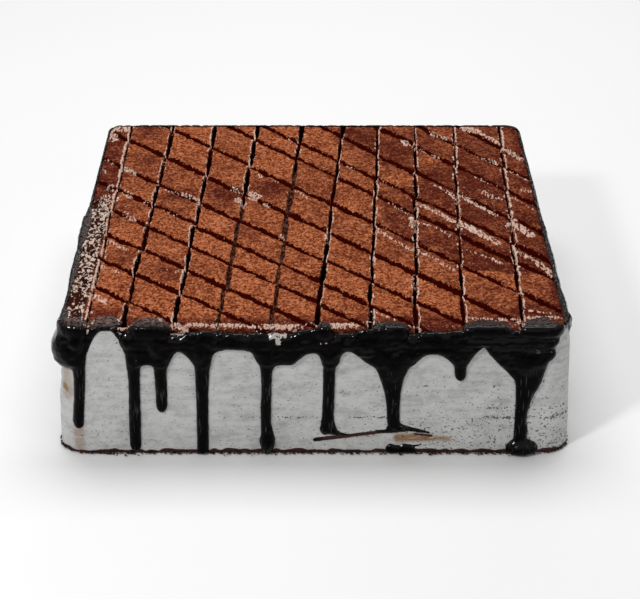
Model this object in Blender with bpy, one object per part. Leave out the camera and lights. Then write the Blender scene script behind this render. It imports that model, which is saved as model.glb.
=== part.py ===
"""A square tiramisu cake, uncut: a block coated in pale cream, a cocoa-dusted layer on top that a knife
has scored into slanted tiles, and a chocolate ganache rim that hangs over the edge and runs down the
sides in drips.

Metres, +Z up, the cake's front towards -Y, the origin under its middle on the surface it rests on.
The lists of lines and drips are in millimetres: x runs along the front from its middle, y towards the
back, and heights are above the base.
"""

import math
import random
from collections import namedtuple

import bmesh
import bpy
import numpy as np

MM = 0.001

# Driving sizes: a 20 cm square cake.
TOP_WIDTH = 198 * MM
BASE_WIDTH = 203 * MM
HEIGHT = 56 * MM
CORNER_RADIUS = 7 * MM
CORNER_SEGMENTS = 6
COCOA_THICKNESS = 4 * MM
GAP = 0.3 * MM  # between pieces that touch

HALF_TOP = TOP_WIDTH / 2
DRAFT = (BASE_WIDTH - TOP_WIDTH) / 2 / HEIGHT
STRAIGHT = TOP_WIDTH - 2 * CORNER_RADIUS
CORNER_ARC = math.pi / 2 * CORNER_RADIUS
SIDE_PITCH = STRAIGHT + CORNER_ARC
PERIMETER = 4 * SIDE_PITCH

# The knife's lines from back to front: where each meets the back edge and the front edge.
KNIFE_LINES = (
    (-88.4, -89.0),
    (-68.0, -75.0),
    (-47.4, -55.0),
    (-27.0, -37.5),
    (-6.0, -17.0),
    (14.0, 0.4),
    (31.0, 21.5),
    (49.0, 39.5),
    (68.0, 58.0),
    (89.6, 81.0),
)
KNIFE_WIDTH = 2.3 * MM
KNIFE_DEPTH = 2.7 * MM

# The slanted lines: x, and y with it, where each crosses the diagonal from front left to back right.
# They fan out, steeper towards the back right.
SLANT_LINES = (-75.5, -62.5, -51.0, -39.5, -29.5, -18.5, -4.5, 10.0, 24.5, 33.0, 46.0, 60.0, 71.5, 82.0)
SLANT_ANGLE = math.radians(46.3)
SLANT_FAN = math.radians(0.087)  # for each millimetre along that diagonal
SLANT_WIDTH = 1.6 * MM
SLANT_DEPTH = 1.5 * MM

# A drip's middle, half width, lowest point, the heights where the rim's lower edge meets its left and
# right side, and the half width of the blob it ends in.
Drip = namedtuple("Drip", "x half tip left right foot")
# The rim's lower edge between two drips: its highest point, and how sharply it falls to the drips.
Arch = namedtuple("Arch", "x top power")

FRONT_DRIPS = (
    Drip(-92.4, 2.3, 11.2, 40.0, 40.0, 2.3),
    Drip(-71.2, 2.6, 0.9, 41.3, 40.0, 2.8),
    Drip(-60.5, 2.4, 19.4, 40.0, 39.5, 2.6),
    Drip(-44.1, 2.7, 0.8, 40.6, 41.0, 2.7),
    Drip(-18.6, 2.6, 1.1, 40.6, 40.6, 3.1),
    Drip(5.5, 2.5, 9.0, 41.0, 41.0, 3.3),
    Drip(31.5, 3.0, 11.4, 30.0, 31.0, 3.6),
    Drip(57.6, 2.4, 33.4, 41.0, 41.0, 2.4),
    Drip(82.8, 3.3, 0.9, 32.0, 32.0, 6.2),
)
# The first arch is left of the first drip, the last one right of the last.
FRONT_ARCHES = (
    Arch(-104.0, 44.0, 2.0),
    Arch(-81.6, 55.6, 2.3),
    Arch(-65.8, 40.6, 2.0),
    Arch(-52.9, 46.2, 2.2),
    Arch(-31.2, 47.2, 7.0),
    Arch(-1.2, 45.8, 2.6),
    Arch(14.2, 46.2, 1.2),
    Arch(48.5, 44.8, 1.9),
    Arch(66.3, 47.6, 1.15),
    Arch(103.0, 57.0, 1.3),
)
HIDDEN_SEED = 11
HIDDEN_STEP = (15.0, 29.0)  # from one drip to the next on the other sides
HIDDEN_TIPS = (1.0, 1.2, 9.0, 14.0, 22.0, 34.0)
FIRST_HIDDEN = 16.0  # from the front right corner to the first of them
LAST_HIDDEN = 5.0

RIM_THICKNESS = 2.0 * MM
RIM_CREST = 1.3 * MM  # how high it stands over the cocoa
RIM_REACH = 4.4 * MM  # how far it lies in over the cocoa
RIM_WAVES = ((9, 0.22), (23, 0.16), (41, 0.10))  # rounds along the rim and their share of its thickness
RIM_LEAST_BAND = 3 * MM
# The share of the rim's reach and crest that lies over the top, by the length round the edge from the
# front's middle: most along the front and the front half of the left side, next to none at the back.
RIM_OVER = (
    (0, 1.0),
    (86, 1.0),
    (103, 0.5),
    (287, 0.5),
    (298, 0.15),
    (530, 0.15),
    (560, 0.6),
    (585, 1.0),
    (677, 1.2),
    (700, 1.1),
    (780, 1.0),
)
# Lumps that reach further in over the cocoa along the front: middle, half width, extra reach.
FRONT_LUMPS = ((-89.0, 4.5, 7.0), (-77.0, 6.0, 9.0), (-63.5, 5.0, 7.5), (70.0, 12.0, 2.5))
FRONT_STEP = 3.1 * MM
SIDE_STEP = 6.2 * MM
CORNER_STEPS = 4

DRIP_THICKNESS = 0.84  # of its half width
DRIP_START = 7 * MM  # how far inside the rim it starts
DRIP_ROOT = 1.18  # its width where it leaves the rim, and just over its tip
DRIP_NECK = 0.94
DRIP_TIP_ANGLES = (90.0, 55.0, 24.0)  # stations round the rounded tip

CREAM_COLOUR = (0.62, 0.62, 0.59, 1.0)
COCOA_COLOUR = (0.24, 0.085, 0.035, 1.0)
GANACHE_COLOUR = (0.012, 0.008, 0.007, 1.0)


def clear_scene():
    for obj in list(bpy.data.objects):
        bpy.data.objects.remove(obj, do_unlink=True)


def new_collection(name):
    collection = bpy.data.collections.new(name)
    bpy.context.scene.collection.children.link(collection)
    return collection


def new_material(name, colour, roughness):
    material = bpy.data.materials.new(name)
    material.use_nodes = True
    shader = material.node_tree.nodes["Principled BSDF"]
    shader.inputs["Base Color"].default_value = colour
    shader.inputs["Roughness"].default_value = roughness
    shader.inputs["Metallic"].default_value = 0.0
    return material


def new_object(mesh, collection, material=None):
    obj = bpy.data.objects.new(mesh.name, mesh)
    collection.objects.link(obj)
    if material:
        mesh.materials.append(material)
    return obj


def mesh_of(name, build):
    """A mesh made by build, which fills a bmesh."""
    shape = bmesh.new()
    build(shape)
    bmesh.ops.recalc_face_normals(shape, faces=shape.faces)
    mesh = bpy.data.meshes.new(name)
    shape.to_mesh(mesh)
    shape.free()
    return mesh


def block_mesh(name, low, high, grow=0.0):
    """The cake's square outline from height low to high. Its sides lean in, its upright corners are round."""

    def build(shape):
        bmesh.ops.create_cube(shape, size=1.0)
        for vert in shape.verts:
            z = high if vert.co.z > 0 else low
            half = HALF_TOP + DRAFT * (HEIGHT - z) + grow
            vert.co = (math.copysign(half, vert.co.x), math.copysign(half, vert.co.y), z)
        upright = [e for e in shape.edges if abs(e.verts[0].co.z - e.verts[1].co.z) > (high - low) / 2]
        bmesh.ops.bevel(
            shape,
            geom=upright,
            offset=CORNER_RADIUS + grow,
            segments=CORNER_SEGMENTS,
            profile=0.5,
            affect="EDGES",
        )

    return mesh_of(name, build)


def groove_mesh(name, width, depth):
    """A knife line's wedge along Y, point down, as wide as the line at its surface, z = 0."""
    upper = width  # the wedge's height over the surface
    side_width = width / 2 * (depth + upper) / depth

    def build(shape):
        bmesh.ops.create_cone(shape, cap_ends=True, segments=3, radius1=1, radius2=1, depth=TOP_WIDTH * 1.7)
        for vert in shape.verts:
            corner = round(math.atan2(vert.co.y, vert.co.x) / (math.tau / 3))
            along = vert.co.z
            vert.co = (corner * side_width, along, upper if corner else -depth)

    return mesh_of(name, build)


def add_groove(name, cutters, width, depth, x, y, turn):
    groove = new_object(groove_mesh(name, width, depth), cutters)
    groove.location = (x, y, HEIGHT)
    groove.rotation_euler.z = turn


def add_grooves(cutters):
    """The wedges of both sets of lines, each laid across the whole top."""
    for number, (back, front) in enumerate(KNIFE_LINES):
        lean = math.atan2((back - front) * MM, TOP_WIDTH)
        middle = (back + front) / 2 * MM
        add_groove(f"knife_{number}", cutters, KNIFE_WIDTH, KNIFE_DEPTH, middle, 0.0, -lean)
    for number, place in enumerate(SLANT_LINES):
        angle = SLANT_ANGLE + SLANT_FAN * place
        turn = math.pi / 2 - angle
        add_groove(f"slant_{number}", cutters, SLANT_WIDTH, SLANT_DEPTH, place * MM, place * MM, turn)


def cut_by(obj, cutters):
    for cutter in cutters.objects:
        cutter.hide_render = True
        cutter.display_type = "WIRE"
    modifier = obj.modifiers.new("cut", "BOOLEAN")
    modifier.operation = "DIFFERENCE"
    modifier.operand_type = "COLLECTION"
    modifier.collection = cutters
    modifier.solver = "EXACT"


def rim_point(along):
    """The top edge's point and its outward direction at a length along it, counted from the front's
    middle towards +X: four straight sides joined by quarter circles."""
    side, rest = divmod((along + STRAIGHT / 2) % PERIMETER, SIDE_PITCH)
    bend = max(rest - STRAIGHT, 0.0) / CORNER_RADIUS
    centre = HALF_TOP - CORNER_RADIUS
    point = np.array((min(rest, STRAIGHT) - STRAIGHT / 2, -centre))
    out = np.array((math.sin(bend), -math.cos(bend)))
    turn = side * math.pi / 2
    spin = np.array(((math.cos(turn), -math.sin(turn)), (math.sin(turn), math.cos(turn))))
    return spin @ (point + CORNER_RADIUS * out), spin @ out


def wall(z):
    """How far the cake's wall stands outside its top edge at a height."""
    return DRAFT * (HEIGHT - z)


def hidden_drips():
    """Drips and arches for the other three sides, as uneven as the front's. A drip keeps off the corners."""
    rng = random.Random(HIDDEN_SEED)
    drips, arches = [], []
    side_pitch = SIDE_PITCH / MM
    straight = STRAIGHT / MM
    x = side_pitch - straight / 2 + FIRST_HIDDEN
    while x < 3 * side_pitch + straight / 2 - LAST_HIDDEN:
        wide = rng.random() < 0.22
        half = rng.uniform(2.3, 2.8) + 0.5 * wide
        tip = rng.choice(HIDDEN_TIPS)
        shoulder = 31.0 if wide and tip < 20.0 else rng.uniform(39.5, 42.0)
        drips.append(Drip(x, half, tip, shoulder, shoulder, half * rng.uniform(1.0, 1.25)))
        step = rng.uniform(*HIDDEN_STEP)
        place = (x + step + straight / 2) % side_pitch
        if place > straight - 4.0:
            step += side_pitch - place + 5.0
        arches.append(Arch(x + step * rng.uniform(0.42, 0.58), rng.uniform(44.5, 49.0), rng.uniform(1.5, 4.5)))
        x += step
    return tuple(drips), tuple(arches[:-1])


def all_drips():
    """Every drip round the cake in order, and the arch that comes after each."""
    drips, arches = hidden_drips()
    return FRONT_DRIPS + drips, FRONT_ARCHES[1:] + arches + FRONT_ARCHES[:1]


def lower_edge(along, drips, arches):
    """Height of the rim's lower edge. Between two drips it falls from the arch's top to their shoulders
    with a power of the distance from the arch's middle."""
    turn = PERIMETER / MM
    for number, (drip, arch) in enumerate(zip(drips, arches)):
        after = drips[(number + 1) % len(drips)]
        past = (along / MM - drip.x) % turn
        span = (after.x - drip.x) % turn
        if past >= span:
            continue
        middle = (arch.x - drip.x) % turn
        if past < middle:
            share, shoulder = (middle - past) / max(middle - drip.half, 1.0), drip.right
        else:
            share, shoulder = (past - middle) / max(span - after.half - middle, 1.0), after.left
        return (arch.top - (arch.top - shoulder) * min(share, 1.0) ** arch.power) * MM
    raise ValueError("no arch there")


def lump(along):
    """How much further the front's lumps reach in over the cocoa there: a round bump for each."""
    x = along / MM
    return max(extra * max(0.0, 1.0 - ((x - middle) / half) ** 2) for middle, half, extra in FRONT_LUMPS) * MM


def rim_section(along, low, phases):
    """The rim's section as pairs of outward distance and height: up the cake's wall, over its edge and
    in over the cocoa, then back through the cake."""
    swell = 1.0
    for (rounds, share), phase in zip(RIM_WAVES, phases):
        swell += share * math.sin(math.tau * (rounds * along / PERIMETER + phase))
    low = min(low, HEIGHT - RIM_LEAST_BAND)
    thick = RIM_THICKNESS * swell
    over = np.interp(along % PERIMETER / MM, *zip(*RIM_OVER))
    crest = RIM_CREST * (0.6 + 0.4 * swell) * over
    reach = RIM_REACH * swell * over + lump(along)
    lip = min(thick, (HEIGHT - low) / 3)
    middle = (low + lip + HEIGHT) / 2
    return (
        (wall(low) - 1.2 * MM, low + 0.4 * lip),
        (wall(low) + 0.45 * thick, low),
        (wall(low) + 0.90 * thick, low + 0.45 * lip),
        (wall(low) + 1.00 * thick, low + lip),
        (wall(middle) + 0.88 * thick, middle),
        (0.95 * thick, HEIGHT - 0.6 * MM),
        (0.55 * thick, HEIGHT + 0.75 * crest),
        (-0.20 * reach, HEIGHT + crest),
        (-0.75 * reach, HEIGHT + 0.85 * crest),
        (-reach, HEIGHT + 0.35 * crest),
        (-reach + 0.2 * MM, HEIGHT - 1.0 * MM),
        (-2.0 * MM, HEIGHT - 2.5 * MM),
    )


def rim_stations():
    """Lengths along the top edge where the rim has a section, close together along the front."""
    stations = []
    for side in range(4):
        start = side * SIDE_PITCH - STRAIGHT / 2
        count = round(STRAIGHT / (SIDE_STEP if side else FRONT_STEP))
        stations += [start + STRAIGHT * k / count for k in range(count)]
        stations += [start + STRAIGHT + CORNER_ARC * k / CORNER_STEPS for k in range(CORNER_STEPS)]
    return stations


def rim_mesh(drips, arches):
    """The rim, a loft of its uneven sections round the cake."""
    rng = random.Random(HIDDEN_SEED)
    phases = [rng.random() for _ in RIM_WAVES]

    def build(shape):
        rings = []
        for along in rim_stations():
            point, out = rim_point(along)
            section = rim_section(along, lower_edge(along, drips, arches), phases)
            rings.append([shape.verts.new((*(point + out * u), z)) for u, z in section])
        for ring, after in zip(rings, rings[1:] + rings[:1]):
            for k, vert in enumerate(ring):
                before = k - 1
                shape.faces.new((ring[before], after[before], after[k], vert))

    return mesh_of("ganache", build)


def drip_stations(drip):
    """Heights and radii down a drip, from inside the rim to its rounded tip."""
    half, foot, tip = drip.half * MM, drip.foot * MM, drip.tip * MM
    shoulder = min(drip.left, drip.right) * MM
    neck = max(shoulder - 4 * MM, tip + 2.4 * foot)
    root = max(shoulder, neck + 1 * MM)
    stations = [(root + DRIP_START, 0.6 * half), (root, DRIP_ROOT * half), (neck, half)]
    if neck - tip > 4 * foot:
        stations.append((tip + 3.2 * foot, DRIP_NECK * half))
    for degrees in DRIP_TIP_ANGLES:
        angle = math.radians(degrees)
        stations.append((tip + foot * (1 - math.cos(angle)), foot * math.sin(angle)))
    return stations


def drip_curve(number, drip, collection):
    """A tube down the wall, sunk into it so that it stands out by its thickness."""
    along = drip.x * MM
    thick = DRIP_THICKNESS * drip.half * MM
    point, out = rim_point(along)
    stations = drip_stations(drip)
    curve = bpy.data.curves.new(f"drip_{number}", "CURVE")
    curve.dimensions = "3D"
    curve.bevel_depth = 1 * MM
    curve.bevel_resolution = 3
    curve.use_fill_caps = True
    spline = curve.splines.new("POLY")
    spline.points.add(len(stations) - 1)
    for place, (z, radius) in zip(spline.points, stations):
        place.co = (*(point + out * (wall(z) + thick - max(radius, thick))), z, 1.0)
        place.radius = radius / MM
    obj = bpy.data.objects.new(curve.name, curve)
    collection.objects.link(obj)
    return obj


def as_mesh(obj, collection):
    """The curve object's tube as a mesh object in its place, its caps welded on."""
    graph = bpy.context.evaluated_depsgraph_get()
    mesh = bpy.data.meshes.new_from_object(obj.evaluated_get(graph))
    shape = bmesh.new()
    shape.from_mesh(mesh)
    bmesh.ops.remove_doubles(shape, verts=shape.verts, dist=0.01 * MM)
    bmesh.ops.recalc_face_normals(shape, faces=shape.faces)
    shape.to_mesh(mesh)
    shape.free()
    mesh.name = obj.name
    tube = new_object(mesh, collection)
    tube.matrix_world = obj.matrix_world
    bpy.data.objects.remove(obj, do_unlink=True)
    return tube


def join_collection(obj, collection):
    """One union of the object with everything in the collection, applied. The collection then goes."""
    modifier = obj.modifiers.new("join", "BOOLEAN")
    modifier.operation = "UNION"
    modifier.operand_type = "COLLECTION"
    modifier.collection = collection
    modifier.solver = "EXACT"
    graph = bpy.context.evaluated_depsgraph_get()
    mesh = bpy.data.meshes.new_from_object(obj.evaluated_get(graph))
    obj.modifiers.clear()
    mesh.name = obj.data.name
    obj.data = mesh
    for piece in list(collection.objects):
        bpy.data.objects.remove(piece, do_unlink=True)
    bpy.data.collections.remove(collection)


def shade_round(obj, sharp_degrees):
    obj.data.shade_smooth()
    obj.data.set_sharp_from_angle(angle=math.radians(sharp_degrees))


def add_ganache(cake, material):
    """Rim and drips in one body, hollowed to the cake's outside."""
    drips, arches = all_drips()
    ganache = new_object(rim_mesh(drips, arches), cake, material)
    runs = new_collection("drips")
    for number, drip in enumerate(drips):
        as_mesh(drip_curve(number, drip, runs), runs)
    bpy.context.view_layer.update()
    join_collection(ganache, runs)
    shade_round(ganache, 60)
    cutters = new_collection("ganache_cutters")
    new_object(block_mesh("inside", -5 * MM, HEIGHT + GAP, GAP), cutters)
    cut_by(ganache, cutters)


def add_cake(cake):
    cream = new_material("cream", CREAM_COLOUR, 0.6)
    body = new_object(block_mesh("cream_cake", 0.0, HEIGHT - COCOA_THICKNESS - GAP), cake, cream)
    shade_round(body, 40)


def add_cocoa(cake):
    cocoa = new_material("cocoa", COCOA_COLOUR, 0.95)
    top = new_object(block_mesh("cocoa_top", HEIGHT - COCOA_THICKNESS, HEIGHT), cake, cocoa)
    cutters = new_collection("score_cutters")
    add_grooves(cutters)
    cut_by(top, cutters)


def main():
    clear_scene()
    cake = new_collection("tiramisu_cake")
    add_cake(cake)
    add_cocoa(cake)
    add_ganache(cake, new_material("ganache", GANACHE_COLOUR, 0.15))


main()
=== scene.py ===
import math
import random
from collections import namedtuple
from itertools import combinations

import bpy
import numpy as np
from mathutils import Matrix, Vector


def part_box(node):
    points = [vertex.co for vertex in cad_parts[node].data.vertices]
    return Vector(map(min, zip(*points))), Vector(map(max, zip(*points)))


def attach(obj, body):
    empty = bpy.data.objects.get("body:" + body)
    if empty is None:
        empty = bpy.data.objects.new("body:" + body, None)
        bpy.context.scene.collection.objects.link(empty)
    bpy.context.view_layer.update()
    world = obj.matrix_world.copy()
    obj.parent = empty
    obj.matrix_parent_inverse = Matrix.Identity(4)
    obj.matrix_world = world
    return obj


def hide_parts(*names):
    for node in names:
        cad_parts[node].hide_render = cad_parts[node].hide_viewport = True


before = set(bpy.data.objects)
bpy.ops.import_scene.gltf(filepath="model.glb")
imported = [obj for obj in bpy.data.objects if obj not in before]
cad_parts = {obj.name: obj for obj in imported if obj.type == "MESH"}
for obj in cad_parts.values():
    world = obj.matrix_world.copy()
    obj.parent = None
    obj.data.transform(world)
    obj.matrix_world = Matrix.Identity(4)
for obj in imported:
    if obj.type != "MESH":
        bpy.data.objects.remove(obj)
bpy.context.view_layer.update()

bl_info = {
    "name": "Square tiramisu cake",
    "version": (1, 0, 0),
    "blender": (4, 5, 0),
    "location": "3D View > Sidebar > Cake",
    "description": "Frosting, scored cocoa, ganache, crumbs and a plain stage for a square tiramisu cake",
    "category": "Object",
}

MM = 0.001


def table(kind, *rows):
    """One named tuple of a kind for each row of numbers."""
    return tuple(kind(*row) for row in rows)


# The cake's shape, in millimetres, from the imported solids: its walls lean in from base to top.
COCOA_LOW, COCOA_HIGH = (Vector(corner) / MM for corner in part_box("cocoa_top"))
CREAM_HIGH = Vector(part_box("cream_cake")[1]) / MM
HEIGHT = COCOA_HIGH.z
DRAFT = (CREAM_HIGH.x - COCOA_HIGH.x) / COCOA_LOW.z
HALF_TOP = CREAM_HIGH.x - DRAFT * HEIGHT
CORNER_RADIUS = 7.0
HALF_STRAIGHT = HALF_TOP - CORNER_RADIUS
STRAIGHT = 2 * HALF_STRAIGHT
CORNER_ARC = math.pi / 2 * CORNER_RADIUS
SIDE_PITCH = STRAIGHT + CORNER_ARC
PERIMETER = 4 * SIDE_PITCH

# A knife line: where it meets the back and the front edge, its half width there and halfway, the y below
# which it is smeared shut, and how wide its lips are.
Knife = namedtuple("Knife", "back front open_back open_middle open_front shut lip")
KNIFE_LINES = table(
    Knife,
    (-88.4, -89, 0.75, 0.5, 0.5, -120, 0.7), (-68, -75, 1.15, 1, 1.15, -120, 0.38),
    (-47.4, -55, 1.45, 1.2, 1, -120, 0.42), (-27, -37.5, 1.3, 1.3, 1, 12, 0.44),
    (-6, -17, 1.25, 1.3, 0.9, 50, 0.34), (14, 0.4, 1.05, 1.1, 1.25, -120, 0.34),
    (31, 21.5, 0.75, 0.9, 1.05, -120, 0.48), (49, 39.5, 0.55, 0.8, 1.05, -120, 0.5),
    (68, 58, 0.55, 0.75, 0.85, -120, 0.55), (89.6, 81, 0.75, 0.65, 0.95, -120, 0.72),
)
# The slanted lines: the x, and the same y, where each crosses the diagonal from front left to back right.
SLANT_LINES = (-75.5, -62.5, -51.0, -39.5, -29.5, -18.5, -4.5, 10.0, 24.5, 33.0, 46.0, 60.0, 71.5, 82.0)
SLANT_ANGLE = math.radians(46.3)
SLANT_FAN = math.radians(0.087)  # for each millimetre along that diagonal
# Each one's crossing with the diagonal, and the sine and cosine of its angle.
SLANTS = tuple(
    (place, math.sin(SLANT_ANGLE + SLANT_FAN * place), math.cos(SLANT_ANGLE + SLANT_FAN * place))
    for place in SLANT_LINES
)

# Streaks on the top: from x, y to x, y, half width, strength from 0 to 1.
Streak = namedtuple("Streak", "x0 y0 x1 y1 half strength")
# Where the knife tore pale cream up through the cocoa.
TORN = table(
    Streak,
    (72, 98, 79, 92, 1.9, 1), (79, 92, 87, 79, 1.1, 0.9), (55, 93, 67, 80, 0.8, 0.7),
    (90, 72, 97, 60, 1.4, 0.9), (70, 73, 77, 64, 0.7, 0.6), (78, 62, 85, 56, 1.1, 0.8),
    (48, 74, 53, 66, 0.9, 0.8), (53, 66, 58, 62, 0.8, 0.7), (43, 81, 44, 76, 1.4, 1),
    (88, 49, 98, 36, 0.8, 0.8), (71, 43, 80, 33, 0.7, 0.7), (66, 20, 74, 8, 1.4, 1), (74, 8, 80, 0, 1, 0.8),
    (60, 24, 64, 16, 1.1, 0.9), (54, 32, 61, 23, 0.7, 0.7), (76, 25, 82, 17, 1.8, 0.6),
    (46, 12, 56, 2, 1.2, 0.9), (56, 2, 60, -5, 1.2, 1), (88, 20, 98, 4, 0.6, 0.6), (94, 26, 97, 23, 1.2, 0.7),
    (33, 14, 42, 2, 0.7, 0.7), (12, 56, 20, 47, 0.7, 0.6), (31, 37, 40, 22, 0.5, 0.4),
    (63, -6, 70, -16, 1.6, 1), (70, -16, 78, -26, 1.4, 1), (87, -4, 84, -12, 1.4, 0.9),
    (88, -10, 93, -19, 1.6, 1), (86, -34, 93, -43, 1.1, 0.9), (93, -43, 98, -55, 1.1, 1),
    (43, -2, 43, -10, 1.3, 1), (47, -7, 54, -13, 0.8, 0.6), (54, -13, 60, -22, 0.7, 0.8),
    (27, -12, 32, -21, 1.2, 0.8), (32, -21, 41, -32, 0.9, 0.8), (44, -33, 50, -40, 0.8, 0.8),
    (50, -40, 57, -50, 0.9, 0.7), (64, -32, 74, -40, 0.6, 0.6), (74, -40, 78, -45, 0.8, 0.9),
    (84, -46, 97, -61, 0.4, 0.5), (22, -84, 32, -92, 0.7, 0.7), (20, -6, 22, -11, 0.8, 0.5),
    (5, -19, 5, -22, 0.9, 0.9), (40, -57, 42, -62, 0.9, 0.8), (85, -84, 95, -87, 0.5, 0.8),
    (-97, 95, -92, 95, 2.4, 1), (-97, 89, -96, 82, 1.8, 1), (-97, 60, -93, 54, 0.8, 0.7),
    (-97, 47, -97, 44, 1.2, 0.8), (-92, 31, -92, 26, 1.2, 0.9), (-93, 19, -92, 10, 2, 0.7),
    (-97, 3, -92, 0, 1.6, 0.9), (-87, 50, -83, 45, 1.2, 0.9), (-85, 24, -82, 19, 1.3, 0.8),
    (-75, 15, -73, 12, 0.8, 0.6), (-67, 26, -58, 22, 0.9, 0.7), (-58, 22, -51, 16, 0.9, 0.8),
    (-37, 29, -33, 24, 1, 0.8), (-28, 23, -27, 17, 1.5, 1), (-25, 21, -23, 19, 1.1, 0.9),
    (-34, 17, -31, 12, 1.3, 1), (-70, 56, -68, 54, 0.8, 0.8), (-25, 43, -24, 40, 0.8, 0.7),
    (-17, 36, -16, 34, 0.8, 0.6), (-22, 13, -20, 8, 0.9, 0.7), (-8, 26, -3, 17, 0.8, 0.7),
    (-12, 83, -8, 77, 0.7, 0.8), (-66, 5, -60, 1, 0.7, 0.6), (-83, 3, -79, -4, 1.3, 0.7),
    (-74, 98, -68, 92, 0.8, 0.5), (-87, -24, -82, -29, 1, 0.8), (-82, -29, -79, -32, 0.8, 0.9),
    (-87, -47, -80, -53, 0.8, 0.8), (-91, -71, -86, -74, 1.3, 1), (-86, -74, -82, -79, 1.1, 0.9),
    (-62, -49, -56, -52, 0.7, 0.5), (-97, -66, -96, -62, 1.5, 0.9), (-14, -19, -14, -22, 0.9, 0.7),
    (-54, -95, -50, -97, 1.4, 0.9), (-50, -95, -24, -96, 1.1, 1), (-20, -96, -6, -97, 1.3, 1),
    (7, -96, 16, -96, 1.4, 1), (60, -90, 80, -91, 0.9, 0.8), (82, -90, 97, -89, 0.9, 0.85),
)
# Where a slanted line is wider and darker than the rest.
DARK_RUNS = table(
    Streak,
    (-96, 87, -88, 79, 1.3, 1), (-87, 79, -73, 64, 1.8, 0.9), (-67, 57, -53, 43, 1.8, 1),
    (-44, 98, -32, 84, 1.6, 0.9), (-25, 76, -12, 60, 1.2, 0.8), (15, 84, 27, 69, 1.2, 0.9),
    (33, 94, 46, 81, 1.7, 1), (59, 60, 66, 50, 1.3, 0.9), (33, 57, 46, 45, 1.1, 0.8),
    (28, -40, 41, -53, 1.3, 1), (43, -57, 58, -71, 1.4, 1), (61, -52, 70, -61, 1.6, 0.8),
    (60, -73, 69, -83, 1.2, 0.9), (63, -25, 80, -40, 1.4, 1), (-21, 12, -8, -3, 1.5, 0.8),
    (-48, -55, -37, -67, 1.2, 0.9), (-14, -87, -5, -96, 1.3, 0.9), (85, -44, 98, -60, 1.2, 0.7),
)
# Patches of dark and of bright cocoa, and where loose flecks lie: x, y, radius, strength.
DARK_PATCHES = (
    (-79, 93, 9, 0.75), (-79, 59, 9, 0.75), (-95, 44, 13, 0.9), (-40, 49, 7, 0.4), (-60, 21, 9, 0.9),
    (-40, 23, 11, 0.95), (-20, 28, 13, 0.9), (-79, -40, 8, 0.5), (-62, -50, 10, 0.7), (-82, -88, 9, 0.85),
    (12, 24, 14, 0.42), (-32, -14, 6, 0.3), (-75, 42, 28, 0.42), (-88, 8, 17, 0.6), (12, 44, 17, 0.28),
    (4, -8, 12, 0.32), (31, -35, 12, 0.5), (68, -72, 17, 0.38), (-70, -60, 16, 0.22), (45, -91, 10, 0.6),
    (-20, 12, 9, 0.35), (21, 49, 9, 0.45), (62, -63, 10, 0.3), (84, -70, 12, 0.3), (-50, 36, 12, 0.3),
    (-66, 8, 9, 0.35), (72, -90, 11, 0.65), (92, -90, 9, 0.65),
)
BRIGHT_PATCHES = (
    (38, 38, 10, 0.95), (53, 58, 8.5, 0.75), (91, -65, 10, 0.55), (52, -45, 7, 0.6), (20, 67, 9, 0.6),
    (-22, -75, 15, 1.5), (3, -62, 13, 1.45), (-63, -28, 12, 1.4), (-36, -62, 11, 1.4), (38, 18, 10, 0.42),
    (50, 4, 12, 0.32), (50, -12, 13, 0.32), (78, -22, 14, 0.26), (93, 80, 14, 0.5), (96, 50, 11, 0.45),
    (93, 15, 14, 0.3), (40, 93, 11, 0.6), (60, 93, 11, 0.55), (80, 93, 11, 0.45), (49, -36, 8, 0.6),
    (77, 64, 8, 0.25), (63, 78, 10, 0.45),
)
FLECK_PATCHES = (
    (35, -5, 16, 0.8), (75, 20, 22, 0.8), (85, 70, 20, 0.6), (90, -30, 18, 0.6), (-92, 10, 18, 0.9),
)
# Where the bright cocoa ends on its right: at each y, from front to back, an x.
BRIGHT_END_Y = (-99, -88, -80, -70, -56, -50, -44, -36, -5, 10, 50, 60, 80, 100)
BRIGHT_END_X = (60, 58, 82, 97, 98, 62, 58, 42, 26, 28, 30, 28, 13, 10)

Drip = namedtuple("Drip", "x half tip left right foot")
Arch = namedtuple("Arch", "x top power")
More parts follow.
